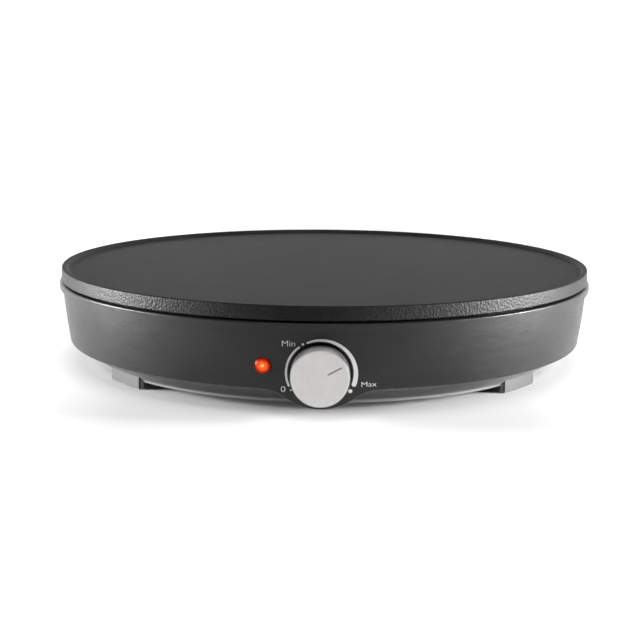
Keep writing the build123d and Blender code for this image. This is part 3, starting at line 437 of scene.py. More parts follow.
@dataclass(frozen=True)
class LippedMoulding(Moulding):
    """Moulded plastic of the housing: its lip flows into the wall and its seam's edge carries a painted
    highlight.
    """

    wall: Range = (153.2, 153.9)  # outside this radius lies the outer wall
    step: tuple[float, float, float, float] = (39.5, 41.0, 46.8, 47.4)  # heights where the lip blends in
    above: float = 0.25  # share of the blend that is left over the step
    draught: float = -0.075
    seam: Range = (15.0, 16.0)  # heights over which the painted highlight fades
    # colour of the painted highlight along the seam's edge
    painted_highlight: Colour = (0.3, 0.3, 0.304)

    def tone(self, surface: Surface, colour: Socket, edge: Socket) -> Socket:
        """Paints a highlight on the edge along the seam.

        Args:
            surface: The material's graph.
            colour: The plain moulding's colour.
            edge: How near a sharp edge the point is.

        Returns:
            The finished colour.
        """
        low = surface.fade(surface.height(), *self.seam)
        sharp = surface.ramp(edge, 0.0, 0.4)
        # painted highlight on the seam's sharp edge, low down
        return surface.mix(surface.times(sharp, low), colour, self.painted_highlight)

    def form(self, surface: Surface) -> Socket | None:
        """Turns the normal towards the plain wall's over the step below the lip.

        Args:
            surface: The material's graph.

        Returns:
            The turned normal.
        """
        height = surface.height()
        radius = surface.radius()
        start, full, fading, end = self.step
        rising = surface.ramp(height, start, full, soft=True)
        falling = surface.span(height, 1.0, self.above, fading, end, soft=True)
        outer = surface.ramp(radius, *self.wall)
        blend = surface.times(surface.times(rising, falling), outer)
        plain = surface.vector("ADD", surface.vector("NORMALIZE", surface.plan()), (0.0, 0.0, self.draught))
        mixed = surface.node("ShaderNodeMix", {0: blend, 4: surface.shape(), 5: plain}, data_type="VECTOR")
        return surface.vector("NORMALIZE", mixed.outputs[1])


@dataclass(frozen=True)
class CovedMoulding(Moulding):
    """Moulded plastic of the tray, with painted light on the cove under the seam, paler towards its foot and
    towards both sides, and a painted highlight along the cove's lip.
    """

    band: Range = (136.7, 136.9)  # radii over which the band begins
    brow: Range = (138.3, 138.9)  # and its lip ends
    lip: Range = (5.1, 6.2)  # heights over which the lip's painted highlight fades
    shade: Range = (4.6, 10.5)  # and the cove's painted light fades
    # colour of the painted light on the cove
    cove: Colour = (0.042, 0.042, 0.043)
    flank: Colour = (0.12, 0.12, 0.121)  # the cove's painted light towards both sides
    flanks: Range = (0.07, 0.1)  # distances aside where it sets in
    # colour of the painted highlight along the cove's lip
    painted_highlight: Colour = (0.18, 0.18, 0.183)

    def tone(self, surface: Surface, colour: Socket, edge: Socket) -> Socket:
        """Paints light on the band, fading with height and stronger towards both sides, and a painted
        highlight along its lip.

        Args:
            surface: The material's graph.
            colour: The plain moulding's colour.
            edge: How near a sharp edge the point is; not used here.

        Returns:
            The finished colour.
        """
        height = surface.height()
        radius = surface.radius()
        band = surface.ramp(radius, *self.band)
        # painted light on the cove, fading with height and growing towards both sides
        paler = surface.fade(height, *self.shade, soft=True)
        flank = surface.ramp(surface.aside(), *self.flanks, soft=True)
        sloping = surface.ramp(surface.leaning("Z"), 0.25, 0.5)
        sloping = surface.times(surface.times(band, sloping), surface.calc("MAXIMUM", paler, flank))
        shaded = surface.mix(sloping, colour, surface.mix(flank, self.cove, self.flank))
        # painted highlight along the cove's lip
        inside = surface.fade(radius, *self.brow)
        low = surface.fade(height, *self.lip, soft=True)
        lip = surface.times(surface.times(band, inside), low)
        return surface.mix(lip, shaded, self.painted_highlight)


@dataclass(frozen=True)
class Lacquer(Finish):
    """Silver lacquer over plastic: fine flake, a spun face and a glossier side, with painted shade on the
    side, darkest towards the wall and at its left and right.
    """

    colour: Colour = (0.67, 0.66, 0.646)
    sparkle: Colour = (0.7, 0.7, 0.71)
    side: Colour = (0.24, 0.24, 0.243)
    centre: tuple[float, float, float] = (0.0, -0.1635, 0.0225)
    shaded: Range = (0.008, 0.0008)  # metres behind the face over which the painted shade on the side goes from darkest to full
    darkest: float = 0.05
    flank: float = 0.2  # how dark the painted shade on the side's left and right is
    flake: Pattern = (0.12, 2.0, 0.9)
    clouds: Pattern = (7.0, 3.0, 0.5)
    spin: float = 0.22  # pitch of the spun marks
    depths: tuple[float, float] = (0.003, 0.004)  # of the marks and the flake
    metallic: Range = (0.35, 0.6)  # of the side and the face
    rough: Range = (0.265, 0.275)
    rougher: float = 0.25  # added at the side

    def paint(self, surface: Surface) -> None:
        """Satin metal lacquer spun about the shaft.

        Args:
            surface: The material's graph.
        """
        spun = surface.moved(location=self.centre, turn=(90, 0, 0))
        flake = surface.noise(*self.flake)
        cloud = surface.noise(*self.clouds)
        tone = surface.mix(surface.ramp(cloud, 0.3, 0.7), tint(self.colour, 0.99), self.colour)
        sparkle = surface.mix(surface.span(flake, 0.0, 0.25, 0.5, 0.75), tone, self.sparkle)
        # painted shade along the side, darkest next to the wall
        along = surface.ramp(surface.part("Y"), *(self.centre[1] + depth for depth in self.shaded))
        top_side = surface.mix(along, tint(self.side, self.darkest), self.side)
        # painted shade on the side's left and right
        flank = surface.ramp(surface.leaning("X"), 0.15, 0.75, soft=True)
        side = surface.mix(flank, top_side, tint(self.side, self.flank))
        facing = surface.ramp(surface.leaning("Y"), 0.8, 0.99, soft=True)
        surface.set(Base_Color=surface.mix(facing, side, sparkle), Specular_IOR_Level=0.5,
                    Metallic=surface.span(facing, *self.metallic))
        marks = surface.rings(self.spin, at=spun, warp=0.3)
        gloss = surface.plus(surface.span(cloud, *self.rough), surface.times(marks, 0.03))
        surface.set(Roughness=surface.plus(gloss, surface.span(facing, self.rougher, 0.0)))
        surface.relief(*zip((marks, flake), self.depths))


@dataclass(frozen=True)
class SignalLens(Finish):
    """Moulded lens lit from behind: hot core, orange field and a deep red ring."""

    crown: tuple[float, float, float]
    glow: float = 0.95
    facets: float = 1.1
    ripple: Pattern = (0.8, 2.0, 0.5)
    depths: tuple[float, float] = (0.02, 0.03)  # of the ripple and the facets
    hot: Colour = (1.0, 0.78, 0.28)
    orange: Colour = (0.93, 0.13, 0.008)
    red: Colour = (0.36, 0.006, 0.001)
    rim: Colour = (0.06, 0.001, 0.001)
    hot_ends: Range = (0.0, 1.25)  # millimetres from the crown, over which a colour turns into the next
    orange_ends: Range = (1.8, 3.3)
    red_ends: Range = (2.9, 4.0)
    shell: Colour = (0.1, 0.003, 0.001)
    cloudy: Colour = (0.14, 0.006, 0.002)
    rough: Range = (0.34, 0.42)

    def paint(self, surface: Surface) -> None:
        """Glow by distance from the lens's crown, broken up by the prisms inside the lens.

        Args:
            surface: The material's graph.
        """
        off = surface.times(surface.reach(self.crown), 1 / MM)
        prism = surface.cells(self.facets)
        ripple = surface.noise(*self.ripple)
        broken = surface.plus(surface.span(prism, -0.4, 0.4), surface.span(ripple, -0.3, 0.3, 0.3, 0.7))
        uneven = surface.plus(off, broken)
        red = surface.mix(surface.ramp(off, *self.red_ends, soft=True), self.red, self.rim)
        orange = surface.mix(surface.ramp(uneven, *self.orange_ends, soft=True), self.orange, red)
        core = surface.mix(surface.ramp(uneven, *self.hot_ends, soft=True), self.hot, orange)
        shell = surface.mix(surface.ramp(ripple, 0.3, 0.7), self.shell, self.cloudy)
        surface.set(Base_Color=shell, Roughness=surface.span(ripple, *self.rough), IOR=1.49,
                    Specular_IOR_Level=0.1)
        surface.set(Emission_Color=core, Emission_Strength=self.glow)
        surface.relief(*zip((ripple, prism), self.depths))


@dataclass(frozen=True)
class Rubber(Finish):
    """Soft dark rubber with a bloom of dust and a fine matt skin."""

    colour: Colour = (0.028, 0.028, 0.029)
    bloom: Colour = (0.09, 0.088, 0.085)
    blooms: Pattern = (4.0, 4.0, 0.7)
    skin: Pattern = (0.3, 3.0, 0.7)
    dimple: float = 1.6
    depths: tuple[float, float] = (0.03, 0.02)  # of the skin and the dimples
    rough: Range = (0.72, 0.92)

    def paint(self, surface: Surface) -> None:
        """Matt rubber.

        Args:
            surface: The material's graph.
        """
        bloom = surface.noise(*self.blooms)
        colour = surface.mix(surface.span(bloom, 0.0, 0.7, 0.45, 0.8), self.colour, self.bloom)
        surface.set(Base_Color=colour, Roughness=surface.span(bloom, *self.rough), Specular_IOR_Level=0.3)
        surface.relief(*zip((surface.noise(*self.skin), surface.cells(self.dimple)), self.depths))


@dataclass(frozen=True)
class Metal(Finish):
    """Bare or plated metal with drawn grain, tarnish clouds and brighter edges."""

    colour: Colour
    rough: float = 0.32
    stretch: tuple[float, float, float] = (8.0, 1.0, 1.0)
    tarnish: Colour = (0.25, 0.22, 0.19)
    tarnished: float = 0.3
    grain_depth: float = 0.006
    drawn: Pattern = (0.25, 4.0, 0.7)
    clouds: Pattern = (6.0, 4.0, 0.65)
    clouded: Range = (-0.05, 0.12)  # what the clouds do to the roughness
    grained: Range = (-0.04, 0.05)  # and what the grain does
    edge: float = 0.15

    def paint(self, surface: Surface) -> None:
        """Metal with its grain along one axis.

        Args:
            surface: The material's graph.
        """
        grain = surface.noise(*self.drawn, at=surface.moved(stretch=self.stretch))
        cloud = surface.noise(*self.clouds, warp=0.6)
        toned = surface.mix(surface.span(grain, 0.0, 0.35, 0.4, 0.7), self.colour, tint(self.colour, 0.72))
        dull = surface.mix(surface.span(cloud, 0.0, self.tarnished, 0.45, 0.75), toned, self.tarnish)
        bright = tint(self.colour, 1.25)
        surface.set(Base_Color=surface.mix(surface.times(surface.edges(self.edge), 0.5), dull, bright),
                    Metallic=1.0)
        clouded = surface.span(cloud, *(self.rough + change for change in self.clouded))
        surface.set(Roughness=surface.plus(clouded, surface.span(grain, *self.grained)))
        surface.relief((grain, self.grain_depth))


NICKEL = Metal("nickel_tab", (0.62, 0.6, 0.57), 0.3)
ZINC = Metal("zinc_screw", (0.62, 0.62, 0.6), 0.3, (1, 1, 1), (0.4, 0.4, 0.42), 0.5)
SPRING_STEEL = Metal("spring_steel", (0.45, 0.45, 0.46), 0.3, (1, 6, 1))


@dataclass(frozen=True)
class HeatedSheath(Finish):
    """Steel sheath that has been red hot: oxide blues and browns in bands along the tube."""

    blued: Colour = (0.09, 0.085, 0.11)
    browned: Colour = (0.17, 0.12, 0.075)
    scaled: Colour = (0.05, 0.048, 0.046)
    bands: Pattern = (24.0, 3.0, 0.55)
    scale: Pattern = (1.2, 5.0, 0.75)
    scale_depth: float = 0.02
    rough: Range = (0.42, 0.68)

    def paint(self, surface: Surface) -> None:
        """Oxidised steel.

        Args:
            surface: The material's graph.
        """
        bands = surface.noise(*self.bands, warp=1.2)
        scale = surface.noise(*self.scale)
        oxide = surface.mix(surface.ramp(bands, 0.35, 0.6, soft=True), self.blued, self.browned)
        scaled = surface.mix(surface.span(scale, 0.0, 0.6, 0.5, 0.8), oxide, self.scaled)
        surface.set(Base_Color=scaled, Metallic=0.85, Roughness=surface.span(scale, *self.rough))
        surface.relief((scale, self.scale_depth))


@dataclass(frozen=True)
class Fired(Finish):
    """Fired ceramic or pressed mineral: chalky, speckled, faintly stained."""

    colour: Colour = (0.8, 0.78, 0.72)
    stain: Colour = (0.62, 0.55, 0.44)
    speck: Colour = (0.35, 0.31, 0.26)
    stains: Pattern = (5.0, 4.0, 0.7)
    specks: Pattern = (0.35, 2.0, 0.8)
    chalk: Pattern = (0.25, 3.0, 0.7)
    chalk_depth: float = 0.015
    rough: Range = (0.55, 0.8)

    def paint(self, surface: Surface) -> None:
        """Speckled ceramic.

        Args:
            surface: The material's graph.
        """
        stain = surface.noise(*self.stains)
        specks = surface.span(surface.noise(*self.specks), 0.0, 0.5, 0.66, 0.75)
        base = surface.mix(surface.span(stain, 0.0, 0.5, 0.45, 0.8), self.colour, self.stain)
        surface.set(Base_Color=surface.mix(specks, base, self.speck),
                    Roughness=surface.span(stain, *self.rough))
        surface.relief((surface.noise(*self.chalk), self.chalk_depth))


@dataclass(frozen=True)
class Insulation(Finish):
    """Extruded silicone insulation, with a second colour in stripes where the lead has one."""

    colour: Colour
    stripe: Colour | None = None
    pitch: float = 4.2
    lean: tuple[float, float, float] = (25, 35, 0)  # how the stripes are turned, in degrees
    chalk: Pattern = (3.0, 4.0, 0.7)
    skin: Pattern = (0.4, 2.0, 0.5)
    skin_depth: float = 0.012
    rough: Range = (0.45, 0.62)

    def paint(self, surface: Surface) -> None:
        """Silicone skin.

        Args:
            surface: The material's graph.
        """
        chalk = surface.noise(*self.chalk)
        paler = tint(self.colour, 1.2, 0.02)
        base = surface.mix(surface.ramp(chalk, 0.4, 0.75), self.colour, paler)
        if self.stripe is not None:
            bands = surface.bands(self.pitch, surface.moved(turn=self.lean))
            base = surface.mix(surface.ramp(bands, 0.62, 0.68), base, self.stripe)
        surface.set(Base_Color=base, Roughness=surface.span(chalk, *self.rough), Specular_IOR_Level=0.4)
        surface.relief((surface.noise(*self.skin), self.skin_depth))


@dataclass(frozen=True)
class Braid(Finish):
    """Woven glass-fibre sleeve, as two crossed sets of strands."""

    colour: Colour = (0.86, 0.84, 0.78)
    strand: float = 0.55
    lay: float = 48.0  # degrees that the strands lean, to either side
    fibres: Pattern = (0.15, 4.0, 0.8)
    depths: tuple[float, float] = (0.12, 0.03)  # of the weave and the fibres
    rough: Range = (0.7, 0.9)

    def paint(self, surface: Surface) -> None:
        """Crossed strands with loose fibres.

        Args:
            surface: The material's graph.
        """
        weave: Socket | None = None
        for turn in (self.lay, -self.lay):
            wave = surface.bands(self.strand, surface.moved(turn=(0, 0, turn)), warp=0.4)
            weave = wave if weave is None else surface.calc("MAXIMUM", weave, wave)
        fibres = surface.noise(*self.fibres)
        shade = surface.mix(surface.ramp(weave, 0.2, 0.9), tint(self.colour, 0.55), self.colour)
        surface.set(Base_Color=shade, Roughness=surface.span(fibres, *self.rough), Sheen_Weight=0.3)
        surface.relief(*zip((weave, fibres), self.depths))


@dataclass(frozen=True)
class BulbGlass(Finish):
    """Clear drawn glass with a faint glow from the electrodes."""

    colours: tuple[Colour, Colour] = ((1.0, 0.8, 0.66), (1.0, 0.9, 0.8))
    glows: tuple[Colour, Colour] = ((1.0, 0.16, 0.02), (1.0, 0.32, 0.06))
    glow: float = 0.9
    seeds: Pattern = (0.8, 3.0, 0.6)
    seed_depth: float = 0.02
    rough: Range = (0.02, 0.09)

    def paint(self, surface: Surface) -> None:
        """Drawn glass.

        Args:
            surface: The material's graph.
        """
        seeds = surface.noise(*self.seeds)
        surface.set(Base_Color=surface.mix(seeds, *self.colours), Roughness=surface.span(seeds, *self.rough),
                    Transmission_Weight=0.85, IOR=1.5)
        surface.set(Emission_Color=surface.mix(surface.ramp(seeds, 0.3, 0.7), *self.glows),
                    Emission_Strength=self.glow)
        surface.relief((seeds, self.seed_depth))


@dataclass(frozen=True)
class Ink(Finish):
    """Pad-printed ink: thin, slightly uneven, with a fine edge of starved print."""

    colour: Colour = (0.68, 0.68, 0.685)
    thin: float = 0.5  # how dark the starved print is
    starved: Pattern = (0.35, 4.0, 0.8)
    patches: Pattern = (3.0, 2.0, 0.5)
    depth: float = 0.004
    rough: Range = (0.42, 0.58)

    def paint(self, surface: Surface) -> None:
        """Printed ink.

        Args:
            surface: The material's graph.
        """
        starved = surface.noise(*self.starved)
        patchy = surface.noise(*self.patches)
        thinner = tint(self.colour, self.thin)
        colour = surface.mix(surface.span(starved, 0.0, 0.3, 0.62, 0.82), self.colour, thinner)
        surface.set(Base_Color=colour, Roughness=surface.span(patchy, *self.rough), Specular_IOR_Level=0.35)
        surface.relief((starved, self.depth))


@dataclass(frozen=True)
class Backing(Finish):
    """Seamless white paper, which reads as plain white in view and in reflections away from the cooker; near
    it the painted light is held back at the foot and raised to both sides, which shapes the shadow.
    """

    colour: Colour = (0.72, 0.72, 0.724)
    foot: Range = (0.138, 0.168)  # the painted light sets in outside the cooker's foot, so the shadow stays dark there
    flank: Range = (0.09, 0.15)  # and grows towards both sides, narrowing the shadow there
    far: Range = (0.25, 0.9)
    lifts: tuple[float, float, float] = (0.1, 0.22, 0.37)  # in front, added at the sides, added far off
    fibre: Pattern = (2.0, 3.0, 0.7)
    rough: Range = (0.85, 0.95)

    def paint(self, surface: Surface) -> None:
        """Paper with a lift of painted light for camera, glossy and transmission rays, shaped round the
        cooker's shadow.

        Args:
            surface: The material's graph.
        """
        fibre = surface.noise(*self.fibre)
        tone = surface.mix(surface.ramp(fibre, 0.3, 0.7), self.colour, tint(self.colour, 0.985))
        surface.set(Base_Color=tone, Roughness=surface.span(fibre, *self.rough), Specular_IOR_Level=0.1)
        front, side, far = self.lifts
        reach = surface.reach((0.0, 0.0, 0.0))
        # painted light, none at the cooker's foot and more to both sides, which shapes the shadow
        near = surface.plus(front, surface.span(surface.aside(), 0.0, side, *self.flank, soft=True))
        near = surface.times(near, surface.ramp(reach, *self.foot, soft=True))
        level = surface.plus(near, surface.span(reach, 0.0, far, *self.far))
        surface.set(Emission_Color=surface.mix(seen(surface), (0.0, 0.0, 0.0), (1.0, 1.0, 1.0)),
                    Emission_Strength=level)


def seen(graph: Graph) -> Socket:
    """1 for rays that show the background: camera, glossy and transmission rays.

    Args:
        graph: The graph that the nodes are added to.

    Returns:
        1 or 0.
    """
    path = graph.node("ShaderNodeLightPath")
    total: Socket = path.outputs["Is Camera Ray"]
    for name in ("Is Glossy Ray", "Is Transmission Ray"):
        total = graph.calc("MAXIMUM", total, path.outputs[name])
    return total


# ------------------------------------------------------------------ mesh work
class Shapes:
    """Small mesh makers shared by the sub-assemblies."""

    @staticmethod
    def mesh(name: str, bm: bmesh.types.BMesh) -> bpy.types.Mesh:
        """Turns mesh data into a mesh, and frees the data.

        Args:
            name: The mesh's name.
            bm: The mesh data.

        Returns:
            The new mesh.
        """
        made = bpy.data.meshes.new(name)
        bm.to_mesh(made)
        bm.free()
        return made

    @staticmethod
    def linked(name: str, data: bpy.types.ID) -> bpy.types.Object:
        """Links a mesh, curve, lamp or camera to the scene as an object at the origin.

        Args:
            name: The object's name.
            data: What it shows.

        Returns:
            The new object.
        """
        made = bpy.data.objects.new(name, data)
        bpy.context.scene.collection.objects.link(made)
        return made

    @staticmethod
    def solid(name: str, bm: bmesh.types.BMesh) -> bpy.types.Object:
        """Turns closed mesh data into an object with outward faces, and frees the data."""
        Shapes.close(bm, merge=1e-7)
        return Shapes.linked(name, Shapes.mesh(name, bm))

    @staticmethod
    def close(bm: bmesh.types.BMesh, merge: float = 1e-6) -> None:
        """Merges doubles nearer than a distance in metres and turns faces outwards."""
        bmesh.ops.remove_doubles(bm, verts=bm.verts, dist=merge)
        bmesh.ops.recalc_face_normals(bm, faces=bm.faces)

    @staticmethod
    def soften(obj: bpy.types.Object, angle: float = 32.0) -> None:
        """Smooth shading with sharp edges over an angle."""
        obj.data.shade_smooth()
        obj.data.set_sharp_from_angle(angle=math.radians(angle))

    @staticmethod
    def evaluated(obj: bpy.types.Object) -> bpy.types.Mesh:
        """Takes an object's evaluated mesh and removes the object.

        Args:
            obj: The object, with its modifiers.

        Returns:
            Its plain mesh, under the same name.
        """
        view = bpy.context.evaluated_depsgraph_get()
        mesh = bpy.data.meshes.new_from_object(obj.evaluated_get(view), depsgraph=view)
        mesh.name = obj.name
        bpy.data.objects.remove(obj)
        return mesh

    @staticmethod
    def closed(obj: bpy.types.Object) -> bpy.types.Object:
        """Merges doubles and turns faces outwards on an object's closed mesh.

        Args:
            obj: The object to mend.

        Returns:
            The same object.
        """
        bm = bmesh.new()
        bm.from_mesh(obj.data)
        Shapes.close(bm)
        bm.to_mesh(obj.data)
        bm.free()
        return obj


class GeometryGraph(Graph):
    """Geometry node tree with named inputs, ending in real geometry and one material."""

    def __init__(self, name: str, inputs: dict[str, float | int | bpy.types.Object]) -> None:
        """Makes the tree and its inputs.

        Args:
            name: The tree's name.
            inputs: Value by input name.
        """
        tree = bpy.data.node_groups.new(name, "GeometryNodeTree")
        super().__init__(tree)
        tree.interface.new_socket("Geometry", in_out="OUTPUT", socket_type="NodeSocketGeometry")
        kinds = {float: "NodeSocketFloat", int: "NodeSocketInt"}
        self.values: dict[str, Any] = {}
        for label, value in inputs.items():
            kind = kinds.get(type(value), "NodeSocketObject")
            socket = tree.interface.new_socket(label, in_out="INPUT", socket_type=kind)
            self.values[socket.identifier] = value
        self.entry = self.node("NodeGroupInput")

    def given(self, label: str) -> Socket:
        """The socket of a named input."""
        return self.entry.outputs[label]

    def finish(self, geometry: Socket, finish: Finish) -> None:
        """Ends the tree in realised geometry with a material.

        Args:
            geometry: What the tree has made.
            finish: The finish for all of it.
        """
        real = self.node("GeometryNodeRealizeInstances", {0: geometry}).outputs[0]
        dressed = self.node("GeometryNodeSetMaterial", {"Geometry": real, "Material": finish.material()})
        self.node("NodeGroupOutput", {0: dressed.outputs[0]})

    def run(self, name: str) -> bpy.types.Object:
        """Runs the tree on a new object and returns its plain mesh.

        Args:
            name: The object's name.

        Returns:
            The finished object, without modifiers.
        """
        holder = Shapes.linked(name, bpy.data.meshes.new(name))
        modifier = holder.modifiers.new("pattern", "NODES")
        modifier.node_group = self.tree
        for identifier, value in self.values.items():
            modifier[identifier] = value
        return Shapes.linked(name, Shapes.evaluated(holder))


def carry(piece: bpy.types.Object, body: Body, finish: Finish | None = None,
          instead_of: Iterable[str] = ()) -> None:
    """Attaches a finished piece to the empty of the body it rides on.

    Args:
        piece: The piece, in place.
        body: The CAD body it rides on.
        finish: The finish, where the piece doesn't have one yet.
        instead_of: CAD nodes that the piece stands for.
    """
    if finish is not None:
        piece.data.materials.clear()
        piece.data.materials.append(finish.material())
    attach(piece, body.value)
    names = list(instead_of)
    if names:
        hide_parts(*names)
    log.info("piece %s on %s, %d faces", piece.name, body.value, len(piece.data.polygons))


def dress(finish: Finish, *nodes: str) -> None:
    """Puts one finish on CAD nodes.

    Args:
        finish: The finish.
        nodes: The nodes' names.
    """
    for node in nodes:
        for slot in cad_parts[node].material_slots:
            slot.material = finish.material()
        log.info("finish %s on %s", finish.name, node)


# ------------------------------------------------------------------ sub-assemblies
@dataclass
class Griddle:
    """Plate, element and what holds them, down to the reflector."""

    casting: CoatedCasting = CoatedCasting("non_stick_casting")
    sheath: HeatedSheath = HeatedSheath("heated_sheath")
    seals: Fired = Fired("seal_bead", (0.82, 0.8, 0.74))
    washers: Fired = Fired("mineral_washer", (0.8, 0.78, 0.72))
    nickel: Metal = NICKEL
    clips: Metal = Metal("stamped_clip", (0.5, 0.5, 0.5), 0.38, tarnished=0.5)
    screws: Metal = ZINC
    sheet: Metal = Metal("aluminised_sheet", (0.75, 0.75, 0.76), 0.28, (30, 1, 1), (0.45, 0.4, 0.33), 0.35)

    def build(self) -> None:
        """Dresses the CAD nodes, whose shapes stand."""
        dress(self.casting, "griddle_plate")
        dress(self.sheath, "heating_element")
        dress(self.seals, "element_seals")
        dress(self.washers, "plate_washers")
        dress(self.nickel, "element_terminals")
        dress(self.clips, "element_clips", "bulb_clip", "fuse_clip")
        dress(self.screws, "clip_screws", "reflector_screws", "plate_screws")
        dress(self.sheet, "heat_reflector")


@dataclass(frozen=True)
class Arc:
    """One arc of the dial: angles in degrees clockwise from the top, widths in millimetres."""

    name: str
    start: float
    end: float
    first: float
    last: float


@dataclass(frozen=True)
class Word:
    """One word of the dial, fitted to a box on the wall, in millimetres."""

    name: str
    text: str
    left: float
    foot: float
    wide: float
    high: float


@dataclass
class DialPrint:
    """Marks round the knob, laid on the housing: two arcs, three dots and three words.

    Sizes are in millimetres, except where a comment says otherwise.
    """

    axis_z: float = 22.5  # height of the knob's axis over the floor
    inner: float = 16.15  # inner radius of both arcs
    proud: float = 0.05  # of the print over the wall
    stand_off: float = -0.25  # Y in metres of the flat print, in front of the wall
    grid: tuple[int, int] = (121, 7)  # points along and across an arc
    track: float = 1.4  # least width that a dot's place allows for
    dot_sides: int = 40
    thinning: float = -0.008  # of the letters' strokes, at a letter height of 1
    letter_steps: int = 6  # runs in each curve of a letter
    arcs: tuple[Arc, ...] = (
        Arc("off_arc", -115.0, -36.5, 1.05, 1.05),
        Arc("heat_arc", -24.0, 113.0, 0.95, 2.4),
    )
    dots: tuple[tuple[float, float], ...] = ((-122.0, 1.0), (-30.0, 1.2), (122.0, 2.05))  # angle, width
    words: tuple[Word, ...] = (
        Word("word_min", "Min", -18.6, 36.0, 6.4, 2.8),
        Word("word_max", "Max", 20.0, 15.6, 7.4, 2.4),
        Word("word_zero", "0", -19.2, 12.5, 2.2, 3.0),
    )
    ink: Ink = Ink("dial_ink")

    def build(self) -> None:
        """Makes every mark on the housing."""
        for arc in self.arcs:
            self.arc(arc)
        self.dots_piece()
        for word in self.words:
            self.word(word)

    @property
    def wall(self) -> bpy.types.Object:
        """The node that the print lies on."""
        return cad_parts["housing"]

    def cast(self, tree: GeometryGraph, flat: Socket) -> Socket:
        """Lays flat geometry in the XZ plane on the wall and gives it a little body.

        Args:
            tree: The tree to add to.
            flat: Geometry in front of the wall.

        Returns:
            Geometry on the wall's surface.
        """
        target = tree.node("GeometryNodeObjectInfo", {"Object": tree.given("Wall")}).outputs["Geometry"]
        ray = tree.node("GeometryNodeRaycast", {"Target Geometry": target, "Ray Direction": (0, 1, 0),
                                                "Ray Length": 1.0})
        lift = tree.node("ShaderNodeVectorMath", {0: ray.outputs["Hit Normal"], 3: tree.given("Proud")},
                         operation="SCALE").outputs[0]
        onto = tree.vector("ADD", ray.outputs["Hit Position"], lift)
        laid = tree.node("GeometryNodeSetPosition", {"Geometry": flat, "Position": onto}).outputs[0]
        return tree.node("GeometryNodeSetShadeSmooth", {0: laid}).outputs[0]

    def arc(self, arc: Arc) -> None:
        """One arc with rounded ends that grows from the first width to the last.

        Args:
            arc: What to print.
        """
        tree = GeometryGraph(arc.name, {
            "Wall": self.wall,
            "Proud": self.proud * MM,
            "Start angle": math.radians(arc.start),
            "End angle": math.radians(arc.end),
            "Inner radius": self.inner * MM,
            "First width": arc.first * MM,
            "Last width": arc.last * MM,
        })
        columns, rows = self.grid
        sheet = tree.node("GeometryNodeMeshGrid", {"Size X": 1.0, "Size Y": 1.0, "Vertices X": columns,
                                                   "Vertices Y": rows}).outputs[0]
        place = tree.node("ShaderNodeSeparateXYZ", {0: tree.node("GeometryNodeInputPosition").outputs[0]})
        along = tree.plus(place.outputs["X"], 0.5)
        across = place.outputs["Y"]
        sweep = tree.calc("SUBTRACT", tree.given("End angle"), tree.given("Start angle"))
        angle = tree.plus(tree.given("Start angle"), tree.times(along, sweep))
        growth = tree.calc("SUBTRACT", tree.given("Last width"), tree.given("First width"))
        width = tree.plus(tree.given("First width"), tree.times(along, growth))
        middle = tree.plus(tree.given("Inner radius"), tree.times(width, 0.5))
        run = tree.times(sweep, tree.given("Inner radius"))
        to_end = tree.times(tree.calc("MINIMUM", along, tree.calc("SUBTRACT", 1.0, along)), run)
        inside = tree.calc("MINIMUM", tree.calc("DIVIDE", to_end, tree.times(width, 0.5)), 1.0)
        short = tree.calc("SUBTRACT", 1.0, inside)
        whole = 1.0001  # a little over 1, so the root's value stays positive
        rounding = tree.calc("SQRT", tree.calc("SUBTRACT", whole, tree.times(short, short)))
        radius = tree.plus(middle, tree.times(tree.times(across, width), rounding))
        x = tree.times(radius, tree.calc("SINE", angle))
        z = tree.plus(tree.times(radius, tree.calc("COSINE", angle)), self.axis_z * MM)
        spot = tree.node("ShaderNodeCombineXYZ", {"X": x, "Y": self.stand_off, "Z": z}).outputs[0]
        flat = tree.node("GeometryNodeSetPosition", {"Geometry": sheet, "Position": spot}).outputs[0]
        tree.finish(self.cast(tree, flat), self.ink)
        self.hand_over(tree.run(arc.name))

    def dots_piece(self) -> None:
        """The dots at off, lowest and highest."""
        bm = bmesh.new()
        for angle, width in self.dots:
            a = math.radians(angle)
            reach = self.inner + 0.5 * max(width, self.track)
            at = Matrix.Translation((reach * math.sin(a) * MM, self.stand_off,
                                     (self.axis_z + reach * math.cos(a)) * MM))
            bmesh.ops.create_circle(bm, cap_ends=True, cap_tris=True, segments=self.dot_sides,
                                    radius=width / 2 * MM,
                                    matrix=at @ Matrix.Rotation(math.radians(90), 4, "X"))
        self.laid("dial_dots", Shapes.mesh("dial_dots", bm))

    def word(self, word: Word) -> None:
        """One word, fitted to its box.

        Args:
            word: What to print.
        """
        curve = bpy.data.curves.new(word.name, "FONT")
        curve.body = word.text
        curve.size = 1.0
        curve.resolution_u = self.letter_steps
        curve.offset = self.thinning
        mesh = Shapes.evaluated(Shapes.linked(word.name, curve))
        low = [min(v.co[i] for v in mesh.vertices) for i in (0, 1)]
        size = [max(v.co[i] for v in mesh.vertices) - low[i] for i in (0, 1)]
        fit = Matrix.Diagonal((word.wide / size[0] * MM, word.high / size[1] * MM, 1, 1))
        lower_left = Matrix.Translation((-low[0], -low[1], 0))
        upright = Matrix.Rotation(math.radians(90), 4, "X")
        place = Matrix.Translation((word.left * MM, self.stand_off, word.foot * MM))
        mesh.transform(place @ upright @ fit @ lower_left)
        self.laid(word.name, mesh)

